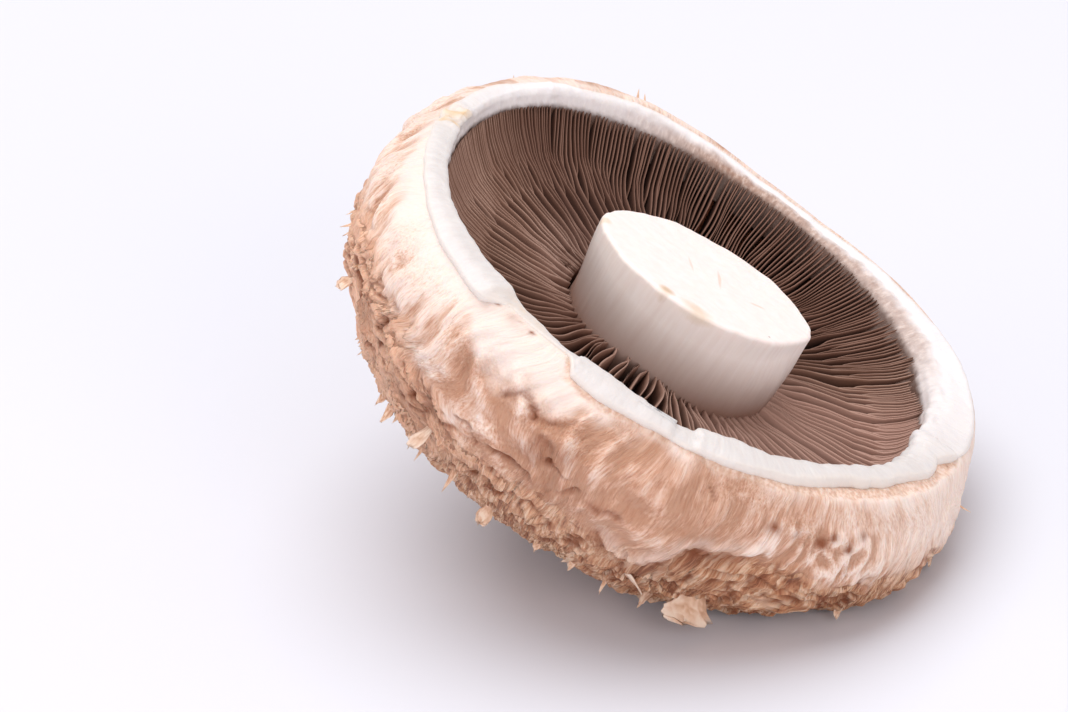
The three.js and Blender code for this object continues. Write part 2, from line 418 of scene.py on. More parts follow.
for path, width, sunk, shade_amount in CREASES:
    off = near_line(path) + ragged * width
    groove = hump(off, width)
    painted_crease_shade = np.maximum(painted_crease_shade, shade_amount * groove)
    crease_relief += sunk * (0.6 * hump(off + 1.7 * width, 1.3 * width) - groove)

# On the low side the belt ends in a soft pale lip over a rough brown hollow, whose brown is partly painted
# shade.
LIP = [(-84, 20.6), (-79.9, 22.2), (-75.4, 23.6), (-71.4, 22.6), (-68.6, 18.5), (-66.9, 15.9), (-62, 14.4),
       (-57.4, 13.3), (-52.9, 12.1)]
lip_off = near_line(LIP) + 0.7 * grain(skin, 2.5, 2, 14.0)
lip_here = window(degrees, -84, -79, -57, -52)
lip = lip_here * hump(lip_off + 1.1, 1.3)
under_lip = lip_here * window(lip_off, -0.2, 0.5, 1.0, 5.5)

# The scales: overlapping fringes that hang from the crown's side, with their frayed ends lifted towards the
# rim. Each row number's fraction is how far a point lies from its fringe's free end.
strands = grain(flow * np.array([1, 1, 0.12]), 1.5, 2, 71.0)
row_large = depth / 6.5 + 2.2 * grain(flow, (9, 9, 14), 2, 15.0) + 0.22 * strands
row_small = depth / 3.2 + 2.2 * grain(flow, (4.5, 4.5, 7), 2, 25.0) + 0.35 * strands
large_here = scaly * smooth(grain(skin, 7, 2, 36.0), -0.2, 0.35)
small_here = scaly * smooth(grain(skin, 4, 2, 46.0), -0.2, 0.35)
# Between the matted bundles of fibre the skin has split into narrow slits round the cap. They are sunk in the
# mesh and painted dark as painted shade.
bundles = grain(flow, (2.4, 2.4, 10), 2, 6.6)
splits = grain(skin_round + 0.6 * curl, (6.5, 6.5, 2.3), 2, 86.0)
slit = scaly * hump(splits, 0.2) * smooth(grain(skin, 5, 2, 92.0), -0.15, 0.2)


def fringe_height(row):
    """Height over a fringe: highest just behind its free end, and lowest where the next one covers it."""
    part = row - np.floor(row)
    return np.where(part < 0.1, part / 0.1, (1 - part) / 0.9) ** 0.8


# The skin's torn upper edge just below the collar, at a few angles, and the smooth seam above it.
SEAM = ([-180, -106, -102, -98, -90, -83, -79, -75, -70, -62, -52, -43, -36, -28, -20, -9, 4, 12, 180],
        [-2, -2, 2.8, 3.5, 3.4, 2.9, 2.3, 2.8, 2.8, 2.0, 1.2, 0.7, 0.4, 0.5, 0.4, 1.0, 0.8, -2, -2])
seam_line = np.interp(degrees, *SEAM) + 0.5 * grain(skin, 2.2, 3, 81.0)
seam = 1 - smooth(depth, seam_line - 0.25, seam_line + 0.35)

# Towards the crown the scales lie flat and the fibres are pressed smooth.
lying_flat = smooth(depth, 30, 52)
fibre_lines = grain(flow, (1.1, 1.1, 6.0), 2, 33.0)
scale_relief = large_here * (0.8 * fringe_height(row_large) - 0.3)
scale_relief = scale_relief + small_here * (0.3 * fringe_height(row_small) - 0.1)
scale_relief = scale_relief + 0.2 * scaly * fibre_lines + 0.5 * scaly * bundles - 0.6 * slit
relief = 1.0 * swell * smooth(depth, 0, 12)
relief += belt_share * (1 - 0.5 * plain_here) * (0.45 - 0.95 * hollow + 0.8 * dents + 0.35 * fine_folds)
relief += 0.7 * pleat_here * pleats + crease_relief + 0.45 * lip - 0.5 * under_lip
relief += (1 - 0.65 * lying_flat) * scale_relief
relief += 0.12 * fibre_lines
# On the far side the shoulder swells up past the rim.
far_swell = hump(degrees - 125, 26) * (1 - smooth(depth, 8, 22))
relief += 1.4 * far_swell * (1 + 0.5 * grain(skin, 5, 2, 38.0))
relief *= smooth(depth, 0.5, 4.5)
relief -= 0.3 * seam
relief *= smooth(down[-1] - depth, 0, 4)
skin_points = skin + normals * relief[..., None]

# What the skin's colour follows: where it is scaly, how high its folds stand, how white it still is near the
# rim or painted light on the low side, and where it is stained or carries painted shade.
WHITE = ([-180, -165, -140, -124, -114, -104, -96, -80, -60, -40, -10, 30, 180],
         [1.5, 4.0, 5.0, 6.0, 8.5, 7.5, 4.5, 2.5, 1.0, 1.0, 2.0, -1.5, 0.5])
white_reach = np.interp(degrees, *WHITE) + 2.6 * grain(skin, 6, 3, 52.0)
whiteness = 1 - smooth(depth, white_reach - 2.0, white_reach + 3.0)
# Painted light: near the rim the belt is painted paler over the low side, where the light falls more
# strongly.
painted_light_low_side = window(degrees, -50, -8, 60, 90) * (1 - smooth(depth, 8, 15))
whiteness = np.maximum(whiteness, np.maximum(0.35 * lip, 0.4 * painted_light_low_side))
# Stains, bruises and the small pits in the pleats, whose shade is painted on as dark spots. For each one: its
# angle and depth, its width and height in millimetres, and how dark it is. The broad ones are drawn out along
# the fibres.
BROAD = 1.4
SPOTS = [(-110, 8.5, 4.0, 3.2, 0.35), (-97.5, 12.8, 2.6, 2.0, 0.55), (-95, 14.6, 0.8, 0.8, 1.0),
         (-101.3, 9.4, 0.8, 0.7, 0.7), (-81.5, 16.0, 1.8, 1.0, 0.6), (-90, 11.5, 3.0, 2.2, 0.3),
         (-55, 7.2, 1.3, 1.0, 1.0), (-50.1, 7.0, 0.7, 1.0, 1.0), (-43.9, 7.6, 0.9, 0.8, 1.4),
         (-42.2, 6.5, 0.8, 0.6, 1.2), (-38.3, 7.6, 0.7, 0.7, 1.4), (-35.4, 5.7, 0.9, 0.6, 1.0),
         (-143, 19.0, 5.0, 5.0, 0.4), (-124, 25, 5.0, 4.0, 0.4), (-60, 19, 5.0, 3.0, 0.3),
         (-121.5, 2.2, 2.2, 1.5, 0.3), (-115.5, 1.3, 2.6, 1.0, 0.3), (-119.8, 1.3, 0.5, 0.4, 1.2),
         (-111.8, 0.9, 0.5, 0.35, 1.2), (-114.6, 1.0, 0.4, 0.3, 0.9)]
# Real stains with painted shade: the creases, the hollow under the lip and the slits between the scales are
# painted darker as their shade.
stains_and_painted_shade = np.maximum(np.maximum(painted_crease_shade, 0.5 * under_lip), slit * (1 - 0.7 * lying_flat))
for spot_angle, spot_depth, wide, long, amount in SPOTS:
    if wide > BROAD:
        off = flow - polar(CAP_RADIUS, radians(spot_angle), spot_depth)
        beside, below = off[..., 0] ** 2 + off[..., 1] ** 2, off[..., 2]
    else:
        beside, below = ((degrees - spot_angle) * DEGREE) ** 2, depth - spot_depth
    stains_and_painted_shade = np.maximum(stains_and_painted_shade, amount * np.exp(-beside / wide**2 - (below / long) ** 2))
stains_and_painted_shade = np.clip(stains_and_painted_shade * (1 + 0.8 * grain(flow, 2.4, 2, 96.0)), 0, 1)
# How pale the folds are at a few angles: cream at 1, and pinkish tan at 0.
LEVEL = ([-180, -140, -125, -110, -84, -66, -45, -25, 0, 30, 60, 180],
         [0.92, 0.94, 0.8, 0.46, 0.3, 0.14, 0.32, 0.5, 0.72, 0.75, 0.8, 0.92])
level = np.interp(degrees, *LEVEL)
# Darker in the hollows and paler on the ridges: partly the skin's own tan, partly painted shade in the
# hollows.
fold_height = level - (1 - plain_here) * 0.52 * hollow + (1 - 0.6 * plain_here) * 0.35 * dents
fold_height = fold_height + pleat_here * 0.8 * (pleats - 0.4) + 0.25 * lip

zones = np.stack([scaly, np.clip(fold_height, 0, 1), whiteness, stains_and_painted_shade], -1)
raised = 1 - 0.8 * lying_flat
amounts = np.stack([large_here, small_here * raised, seam, scaly * raised], -1)
# How pale the scales are at a few angles, before they turn browner towards the crown.
SCALE_TONE = ([-180, -152, -130, -116, -100, -60, -30, 0, 40, 180],
              [0.6, 1.0, 1.0, 0.8, 0.35, 0.0, 0.0, 0.3, 0.5, 0.6])
scale_tone = np.interp(degrees, *SCALE_TONE) * (1 - smooth(depth, 24, 44))
rows = np.stack([row_large, row_small, scale_tone], -1)

# The rim's underside, the inner wall and the flesh that the gills and the stem grow from.
BED_Z = -19.8
INNER_PROFILE = [(RIM_RADIUS + 3.5, -0.05), (RIM_RADIUS + 2.7, -0.3), (RIM_RADIUS + 2.2, -1.4),
                 (RIM_RADIUS + 1.2, -2.4), (RIM_RADIUS + 0.3, -5.4), (RIM_RADIUS - 1.9, -8.8),
                 (RIM_RADIUS - 6.2, -12.9), (30, -17.1), (GILL_INNER, BED_Z), (8, BED_Z)]
FIRST_BROWN_RING, SEAM_RINGS = 4, 3
inner = wander(rings(INNER_PROFILE))
crown = skin_points[-1].mean(0)
no_zone = np.full((len(inner), AROUND, 4), (0.0, 0.5, 0.35, 0.0))
# Between the roots of the gills the flesh is as brown as they are.
no_zone[FIRST_BROWN_RING:, :, 3] = 1.0
no_share = np.zeros((len(inner), AROUND, 4))
no_share[:SEAM_RINGS, :, 2] = seam[0]
inner_flow = flow[0] - np.arange(1, len(inner) + 1)[:, None, None] * np.array([0, 0, 1.2])


def drawn_out_noise(tree, place, scale, **noise_inputs):
    """Noise in a space scaled for each axis, so that its grain is drawn out where the scale is small."""
    space = add(tree, "Mapping", {"Vector": place.outputs["Vector"], "Scale": scale})
    return add(tree, "TexNoise", {"Vector": space, "Scale": 1.0, **noise_inputs})


# The skin is dry matted fungus fibre: matt and felted, with pale brushed strands over brown ones.
cap_skin, tree = new_material("cap_skin")
zone = add(tree, "Attribute", attribute_name="skin_zones")
zone_parts = add(tree, "SeparateColor", {"Color": zone})
share = add(tree, "Attribute", attribute_name="skin_amounts")
share_parts = add(tree, "SeparateColor", {"Color": share})
numbers = add(tree, "Attribute", attribute_name="fringe_rows")
number_parts = add(tree, "SeparateXYZ", {"Vector": numbers.outputs["Vector"]})
stream = add(tree, "Attribute", attribute_name="fibre_flow")
# Single fibres 0.3 mm wide, strands of them 0.7 mm wide, and brushed tufts 2 mm wide.
fibres = drawn_out_noise(tree, stream, (3.4, 3.4, 0.32), Detail=3.0, Roughness=0.65)
strand = drawn_out_noise(tree, stream, (1.4, 1.4, 0.17), Detail=3.0, Roughness=0.6)
tufts = drawn_out_noise(tree, stream, (0.5, 0.5, 0.13), Detail=4.0, Roughness=0.5, Distortion=0.3)
wiggle = add(tree, "Math", strand, -0.5, operation="ADD")
# The crisp edges of the large and the small fringes: the painted shade of the gap before each free end, its
# pale tip, partly its own dry fibre and partly a painted highlight, and how high it stands.
fringes = []
for axis, channel, fray in (("X", "Red", 0.5), ("Y", "Green", 0.9)):
    frayed = add(tree, "Math", wiggle, fray, number_parts.outputs[axis], operation="MULTIPLY_ADD")
    part = add(tree, "Math", frayed, operation="FRACT")
    gap = add(tree, "MapRange", {"Value": part, "From Min": 0.8, "From Max": 0.97})
    tip = add(tree, "MapRange", {"Value": part, "From Min": 0.3, "From Max": 0.0})
    high = add(tree, "Math", 1.0, part, operation="SUBTRACT")
    fringes.append([add(tree, "Math", value, share_parts.outputs[channel], operation="MULTIPLY")
                    for value in (gap, tip, high)])
(gap_large, tip_large, high_large), (gap_small, _, high_small) = fringes
# In the belt the hollows are pinkish tan, partly as painted shade, and the ridges cream.
tuft_part = add(tree, "Math", tufts, 0.75, operation="MULTIPLY")
tufted = add(tree, "Math", zone_parts.outputs["Green"], 0.9, tuft_part, operation="MULTIPLY_ADD")
# A felt of single hairs lies over the belt, in patches from 1.7 mm across down to very fine.
felt = drawn_out_noise(tree, stream, (0.6, 0.6, 0.4), Detail=6.0, Roughness=0.62, Distortion=0.4)
felt_wiggle = add(tree, "Math", felt, -0.5, operation="ADD")
felted = add(tree, "Math", felt_wiggle, 0.65, tufted, operation="MULTIPLY_ADD")
brushed = add(tree, "Math", wiggle, 0.3, felted, operation="MULTIPLY_ADD")
fibre_wiggle = add(tree, "Math", fibres, -0.5, operation="ADD")
belt_height = add(tree, "Math", fibre_wiggle, 0.55, brushed, operation="MULTIPLY_ADD")
belt_colour = add(tree, "ValToRGB", {"Fac": belt_height}, stops=[(0.42, "#BD937A"), (0.6, "#D0A993"),
                                                                 (0.78, "#E0C4B3"), (0.97, "#EEDDD3")])
# In the scales the strands part over dark gaps, and the tips of the fringes are paler, partly their own dry
# fibre and partly a painted highlight.
scale_part = add(tree, "Math", tip_large, 0.2, tufts, operation="MULTIPLY_ADD")
scale_strands = add(tree, "Math", wiggle, 1.5, scale_part, operation="MULTIPLY_ADD")
scale_fibres = add(tree, "Math", fibres, 0.5, scale_strands, operation="MULTIPLY_ADD")
scale_colour = add(tree, "ValToRGB", {"Fac": scale_fibres}, stops=[(0.48, "#7F4E34"), (0.6, "#AB7656"),
                                                                   (0.75, "#C59470"), (0.98, "#E4C4A9")])
pale_part = add(tree, "Math", number_parts.outputs["Z"], 0.8, operation="MULTIPLY")
pale_scales = add(tree, "Mix", {0: pale_part, 6: scale_colour, 7: "#F8CDB2"}, data_type="RGBA")
strand_shade = add(tree, "ValToRGB", {"Fac": fibres}, stops=[(0.32, "#DDBEAA"), (0.5, "#F8F1EC"),
                                                             (0.66, "#FFFFFF")])
plain_share = add(tree, "Math", zone_parts.outputs["Blue"], -0.45, 0.55, operation="MULTIPLY_ADD")
torn = add(tree, "TexNoise", {"Vector": stream.outputs["Vector"], "Scale": 1.3, "Detail": 5.0})
seam_colour = add(tree, "ValToRGB", {"Fac": torn}, stops=[(0.36, "#CFA78E"), (0.5, "#DFBFAB"),
                                                          (0.64, "#EBD5C8")])
seam_part = add(tree, "Math", share_parts.outputs["Blue"], 0.85, operation="MULTIPLY")
# Painted shade: the gaps before the fringes' free ends are painted dark brown.
dark_part = add(tree, "Math", gap_small, 0.4, operation="MULTIPLY")
dark_gap = add(tree, "Math", gap_large, dark_part, operation="MAXIMUM")
dark = add(tree, "Math", dark_gap, 0.6, operation="MULTIPLY")
# Over the belt's colour lie the scales, the white near the rim with the painted light of the low side, the
# fibres' own light and dark, the torn seam, the stains with the painted shade of creases, slits and pits, and
# the painted shade of the gaps.
skin_colour = belt_colour
for part, over, blend in ((zone_parts.outputs["Red"], pale_scales, "MIX"),
                          (zone_parts.outputs["Blue"], "#EADDD6", "MIX"),
                          (plain_share, strand_shade, "MULTIPLY"), (seam_part, seam_colour, "MIX"),
                          (zone.outputs["Alpha"], "#84492A", "MIX"), (dark, "#85553B", "MIX")):
    skin_colour = add(tree, "Mix", {0: part, 6: skin_colour, 7: over}, data_type="RGBA", blend_type=blend)
# Real steps are in the mesh. The bump adds the fringes' thin edges, the tufts and the single fibres.
small_step = add(tree, "Math", high_small, 0.45, high_large, operation="MULTIPLY_ADD")
belt_rough = add(tree, "Math", zone_parts.outputs["Blue"], -0.6, 0.85, operation="MULTIPLY_ADD")
rough_part = add(tree, "Math", share.outputs["Alpha"], 1.2, belt_rough, operation="MULTIPLY_ADD")
rough_strand = add(tree, "Math", strand, rough_part, operation="MULTIPLY")
rough_fibres = add(tree, "Math", fibres, rough_part, operation="MULTIPLY")
bump = add(tree, "Bump", {"Height": small_step, "Strength": 0.7, "Distance": 0.0008})
for height, strength, distance in ((tufts, 0.6, 0.0012), (rough_strand, 0.7, 0.0005),
                                   (rough_fibres, 0.7, 0.0003)):
    bump = add(tree, "Bump", {"Height": height, "Strength": strength, "Distance": distance, "Normal": bump})
surface = add(tree, "BsdfPrincipled", {"Base Color": skin_colour, "Roughness": 0.75, "Normal": bump,
                                       "Subsurface Weight": 0.25, "Subsurface Radius": (1.0, 0.5, 0.3),
                                       "Subsurface Scale": 0.0012})
add(tree, "OutputMaterial", {"Surface": surface})

bed_middle = np.array([0, 0, BED_Z])
cap_mesh = ring_mesh("cap_flesh_and_skin", [crown, *skin_points[::-1], *inner, bed_middle], attributes={
    "skin_zones": [zones[-1][0], *zones[::-1], *no_zone, no_zone[0][0]],
    "skin_amounts": [amounts[-1][0], *amounts[::-1], *no_share, no_share[-1][0]],
    "fringe_rows": [rows[-1][0], *rows[::-1], *inner_flow, inner_flow[-1][0]],
    "fibre_flow": [flow[-1][0], *flow[::-1], *inner_flow, inner_flow[-1][0]]})
# Where the cap lies on the table its soft flesh is pressed flat, with a soft edge 1.5 mm wide.
PRESS_EDGE = 0.0015
for vertex in cap_mesh.vertices:
    z = vertex.co.z
    vertex.co.z = (z + (z * z + PRESS_EDGE**2) ** 0.5) / 2
cap = finish_mesh("cap_flesh_and_skin", cap_mesh, cap_skin)
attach(cap, "root")
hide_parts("cap")


# ---- The veil ----------------------------------------------------------------------------------------------
# The veil once closed the underside of the young cap. It tore off the stem as the cap opened. What is left is
# folded over the rim as a waxy white collar, in layers, and clings to the inner wall as tan down.
VEIL_AROUND = 760
VEIL_STEPS = 40
VEIL_THICK = 1.1
# How far the collar reaches down outside the rim, and how far its lip overhangs the gills, at a few angles.
COLLAR = ([-180, -168, -150, -140, -130, -122, -118, -104, -101.5, -95, -89, -83, -76, -72, -66, -60, -50,
           -43, -36, -28, -20, -14, -9, -3, 5, 12, 45, 60, 100, 117, 134, 137, 150, 180],
          [2.1, 1.7, 1.7, 2.4, 2.8, 3.0, 0.0, -0.4, 2.5, 2.8, 2.5, 2.2, 2.0, 1.9, 1.4, 0.7, -0.2,
           -0.8, -1.3, -0.9, -1.2, -0.8, -0.3, -1.0, 0.4, 1.4, 0.9, -0.5, -1.2, -1.7, -1.7, -0.8, 0.4, 2.1])
OVERHANG = ([-180, -148, -141, -136, -127, -120, -113, -107, -100, -94, -87, -80, -74, -70, -66,
             -60, -54, -47, -41, -34, -27, -20, -14, -7, -1, 6, 12, 20, 42, 180],
            [0, 0, -0.1, 0.5, 0.8, 1.4, 0.8, -0.4, 0.2, -0.1, -1.4, -1.4, 0.2, 0.9, 1.3,
             0.9, 1.2, 1.7, 1.5, 1.3, 0.7, 0.4, 0.0, -0.1, 0.6, 1.6, 1.6, 0.8, 0, 0])
# Layers that lie over the first: from one angle to another, how proud they stand, and over what angle their
# two ends rise.
LAYERS = [(-178, -119, 0.7, 4.0, 4.0), (-103, -79.5, 0.5, 0.8, 1.6), (-75.5, 5, 0.75, 1.0, 1.0),
          (137, 182, 0.15, 1.0, 3.0)]

# The line that the veil covers: up the inner wall, over the rim and down the shoulder.
wall = np.array([[WALL_RADIUS - 1.0, -5.6], [WALL_RADIUS - 0.3, -4.2], [WALL_RADIUS + 0.1, -2.6],
                 [WALL_RADIUS + 0.6, -1.2], [WALL_RADIUS + 1.5, -0.3], [WALL_RADIUS + 2.8, 0.05]])
profile = np.concatenate([wall, shoulder_line(np.linspace(0, pi / 2, 60))])
length = length_along(profile)
CREST, SHOULDER = length[5], length[6]

# The veil follows that line, from the foot of the wall to where the collar ends at each angle.
a = np.arange(VEIL_AROUND) * 2 * pi / VEIL_AROUND
signed = np.degrees((a + pi) % (2 * pi) - pi)
round_rim = polar(RIM_RADIUS, a, 0)
ragged = 0.28 * grain(round_rim, 6, 2, 2.2) + 0.08 * grain(round_rim, 1.3, 2, 6.2)
reach = SHOULDER + np.interp(signed, *COLLAR) + ragged
share = np.linspace(0, 1, VEIL_STEPS)[:, None]
along = reach[None] * share
base = wander(polar(np.interp(along, length, profile[:, 0]), a, np.interp(along, length, profile[:, 1])))
base_r, base_a = radius_and_angle(base)
lip = np.interp(signed, *OVERHANG) * window(along, CREST - 4.5, CREST - 1.2, CREST, SHOULDER)
base = polar(base_r - lip, base_a, base[..., 2])
veil_out = surface_normals(base)

layer = np.zeros_like(along)
edge_noise = 0.8 * grain(base, 1.6, 2, 14.0)
for start, end, proud, rise_in, fall in LAYERS:
    inside = window(signed + edge_noise, start, start + rise_in, end - fall, end)
    layer = np.maximum(layer, proud * inside)
layer = layer * smooth(along, CREST - 2.6, CREST - 0.6)
# Soft folds hang down the inner wall, and the crest is uneven.
hang = grain(base * np.array([1, 1, 0.3]), 2.6, 2, 31.0)
on_wall = 1 - smooth(along, CREST - 1.6, CREST + 0.4)
soft_folds = np.interp(signed, [-180, -20, 0, 40, 70, 150, 180], [0.25, 0.25, 0.75, 0.6, 0.3, 0.15, 0.25])
puff = 0.3 * grain(base, 9, 2, 4.4) + 0.12 * grain(base, 2.6, 2, 9.9) + soft_folds * hang * on_wall
torn_end = 0.9 * hump(np.abs(signed) - 178, 4.0) * smooth(along, CREST - 2, CREST)
puff = puff + torn_end * (0.5 + grain(base, 2.2, 2, 19.0))
# The collar's edge is rounded, and within 0.9 mm of it the thinner sheet looks a little warmer.
to_edge = (1 - share) * reach
edge_round = np.clip(to_edge / 0.3, 0, 1) ** 0.5
thin_edge = 1 - np.clip(to_edge / 0.9, 0, 1)
stand = (0.25 + layer + puff * smooth(along, 0.3, 2.0)) * edge_round
outer = base + veil_out * stand[..., None]
thick = VEIL_THICK * np.clip(edge_round, 0.3, 1) * np.clip(share / 0.05, 0.2, 1)
under = base - veil_out * thick[..., None]

# What the veil's colour follows. The down on the inner wall is brown on the far side and fades to white
# elsewhere, the torn ends are yellowed, and between the ends of the gills the wall is as brown as they are.
DOWN = ([-180, -30, -5, 14, 30, 45, 100, 112, 125, 150, 180],
        [0.15, 0.1, 0.0, 0.05, 0.25, 0.7, 1.0, 0.7, 0.25, 0.15, 0.15])
off_crest = smooth(along + 0.5 * grain(base, 2.2, 2, 44.0), CREST - 2.3, CREST - 0.3)
downy = np.interp(signed, *DOWN) * (1 - off_crest)
yellowed = np.clip(0.5 * hump(signed + 116, 5.0) + hump(np.abs(signed) - 178, 3.0), 0, 1)
yellowed = yellowed * (0.35 + 0.65 * smooth(grain(base, 2.0, 2, 55.0), -0.2, 0.4))
yellowed = yellowed * smooth(along, CREST - 1, CREST + 1)
gill_high = along + 0.25 * grain(base, 0.8, 2, 71.0) + 1.3 * hump(signed - 12, 38)
between = 1 - smooth(gill_high, length[2] + 0.35, length[3] + 0.15)
veil_marks = np.stack([downy, yellowed, thin_edge, between], -1)

# A waxy white skin with a soft sheen, which light gets into, and matt tan down on the wall under it.
torn_veil, tree = new_material("torn_veil")
place = add(tree, "Attribute", attribute_name="veil_place")
marks = add(tree, "Attribute", attribute_name="veil_marks")
mark_parts = add(tree, "SeparateColor", {"Color": marks})
# Down in clumps 0.6 mm across, and faint streaks 0.9 mm wide that run up the wall and over the rim.
clumps = drawn_out_noise(tree, place, (1.6, 1.6, 0.8), Detail=4.0, Roughness=0.6)
streaks = drawn_out_noise(tree, place, (1.1, 1.1, 0.25), Detail=3.0)
white = add(tree, "ValToRGB", {"Fac": streaks}, stops=[(0.3, "#D4D1D1"), (0.5, "#D7D5D5"), (0.7, "#DAD9D9")])
# Painted light: the veil is painted whiter towards the far side, where its wall lies in shade, and greyer on
# the near side.
far = add(tree, "SeparateXYZ", {"Vector": place.outputs["Vector"]})
painted_far_light = add(tree, "MapRange", {"Value": far.outputs["Y"], "From Min": -8.0, "From Max": 26.0})
down_colour = add(tree, "ValToRGB", {"Fac": clumps}, stops=[(0.3, "#967565"), (0.48, "#AC8F80"),
                                                            (0.62, "#C6B0A4"), (0.8, "#E0D3CC")])
veil_colour = white
for part, over in ((painted_far_light, "#EFEEF1"), (mark_parts.outputs["Red"], down_colour),
                   (mark_parts.outputs["Green"], "#DDC3A0"), (mark_parts.outputs["Blue"], "#DFD8D2"),
                   (marks.outputs["Alpha"], "#5A4136")):
    veil_colour = add(tree, "Mix", {0: part, 6: veil_colour, 7: over}, data_type="RGBA")
veil_bump = add(tree, "Bump", {"Height": clumps, "Strength": 0.4, "Distance": 0.0005})
surface = add(tree, "BsdfPrincipled", {"Base Color": veil_colour, "Roughness": 0.5, "Normal": veil_bump,
                                       "Subsurface Weight": 0.25, "Subsurface Radius": (1.0, 0.8, 0.65),
                                       "Subsurface Scale": 0.0012})
add(tree, "OutputMaterial", {"Surface": surface})

arc = polar(RIM_RADIUS, a, along)
veil_mesh = ring_mesh("veil_collar", [*outer, *under[::-1]], closed_profile=True, attributes={
    "veil_place": [*arc, *arc[::-1]], "veil_marks": [*veil_marks, *veil_marks[::-1]]})
veil = finish_mesh("veil_collar", veil_mesh, torn_veil)
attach(veil, "root")
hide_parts("veil_remnant")


# ---- The gills ---------------------------------------------------------------------------------------------
# Several hundred paper-thin plates hang under the cap and carry the brown spores. The longest run from the
# wall to the stem, and shorter ones fill in between them as the circle widens.
GILL_THICK = 0.28
FULL_GILLS = 132
# The heights of the free edge and of the root, at a few distances from the stem's axis.
FREE_EDGE = ([17.0, GILL_INNER, 24, 28, 33, 37.5, 40.5, WALL_RADIUS],
             [-9.8, -9.3, -8.8, -8.4, -7.8, -6.4, -4.0, -1.4])
ROOT = ([GILL_INNER - 2, 30, RIM_RADIUS - 6.4, RIM_RADIUS - 2.2, WALL_RADIUS],
        [-19.3, -16.7, -12.5, -8.6, -5.6])


def grid_faces(rows, columns, first=0, closed=True):
    """Four-sided faces between rows of points. Closed rows are rings, and open ones strips."""
    faces = []
    for i in range(rows - 1):
        a, b = first + i * columns, first + (i + 1) * columns
        for k in range(columns if closed else columns - 1):
            m = (k + 1) % columns
            faces.append((a + k, a + m, b + m, b + k))
    return faces


def gill_plate(name, start, columns):
    """One gill, standing on +X: a thin closed plate with a rounded free edge, from radius start to the wall.
    A gill that starts away from the stem starts low."""
    mesh = bpy.data.meshes.new(name)
    points, below, inner = [], [], []
    section = [(-0.5, 1.0), (-0.5, 0.5), (-0.5, 0.1), (-0.36, 0.025), (0.0, 0.0), (0.36, 0.025), (0.5, 0.1),
               (0.5, 0.5), (0.5, 1.0)]
    for i in range(columns + 1):
        t = i / columns
        radius = start + (WALL_RADIUS - start) * t
        edge = np.interp(radius, *FREE_EDGE)
        root = np.interp(radius, *ROOT)
        if start > GILL_INNER:
            grown_part = 1 - (1 - min(1, t * 2.2)) ** 2.5
            edge = root + (edge - root) * (0.03 + 0.94 * grown_part)
        for side, sunk in section:
            points.append((radius, side * GILL_THICK, edge + (root - edge) * sunk))
            below.append((edge - root) * sunk)
            inner.append(float(smooth(radius, 30, 20)))
    n = len(section)
    faces = grid_faces(columns + 1, n)
    faces.append(tuple(range(n)))
    faces.append(tuple(columns * n + k for k in reversed(range(n))))
    mesh.from_pydata(points, [], faces)
    store(mesh, "below_edge", below)
    store(mesh, "near_stem", inner)
    return mesh


def new_group(name, **sockets):
    """A Geometry Nodes tree with these inputs, and one mesh going in and one coming out."""
    group = bpy.data.node_groups.new(name, "GeometryNodeTree")
    for label, kind in {"Geometry": "Geometry", **sockets, "Material": "Material"}.items():
        group.interface.new_socket(label, in_out="INPUT", socket_type="NodeSocket" + kind)
    group.interface.new_socket("Geometry", in_out="OUTPUT", socket_type="NodeSocketGeometry")
    return group


# The tree stands copies of the plate round the stem. It lets them drift together in bunches, lean over near
# the stem, and crimps their inner ends together in pairs.
ring = new_group("gill_ring", Count="Int", Phase="Float", Bunching="Float", Crimp="Float", Lean="Float",
                 Ripple="Float")
given = add(ring, "NodeGroupInput")
number = add(ring, "GeometryNodeInputIndex")
pitch = add(ring, "Math", 2 * pi, given.outputs["Count"], operation="DIVIDE")
jitter = add(ring, "FunctionNodeRandomValue", {"Min": -0.22, "Max": 0.22, "ID": number, "Seed": 11})
turn = add(ring, "Math", number, given.outputs["Phase"], operation="ADD")
uneven = add(ring, "Math", turn, jitter, operation="ADD")
heading = add(ring, "Math", uneven, pitch, operation="MULTIPLY")
stand = add(ring, "GeometryNodePoints", {"Count": given.outputs["Count"]})
spin = add(ring, "CombineXYZ", {"Z": heading})
copies = add(ring, "GeometryNodeInstanceOnPoints", {"Points": stand, "Instance": given.outputs["Geometry"],
                                                    "Rotation": spin})
odd = add(ring, "Math", number, 2.0, operation="MODULO")
hand = add(ring, "Math", odd, 2.0, -1.0, operation="MULTIPLY_ADD")
marked = add(ring, "GeometryNodeStoreNamedAttribute", {"Geometry": copies, "Name": "hand", "Value": hand},
             domain="INSTANCE")
random_phase = add(ring, "FunctionNodeRandomValue", {"Min": 0.0, "Max": 100.0, "ID": number, "Seed": 4})
phased = add(ring, "GeometryNodeStoreNamedAttribute", {"Geometry": marked, "Name": "own_phase",
                                                       "Value": random_phase}, domain="INSTANCE")
real = add(ring, "GeometryNodeRealizeInstances", {"Geometry": phased})
place = add(ring, "GeometryNodeInputPosition")
parts = add(ring, "SeparateXYZ", {"Vector": place})
flat = add(ring, "CombineXYZ", {"X": parts.outputs["X"], "Y": parts.outputs["Y"]})
radius = add(ring, "VectorMath", flat, operation="LENGTH")
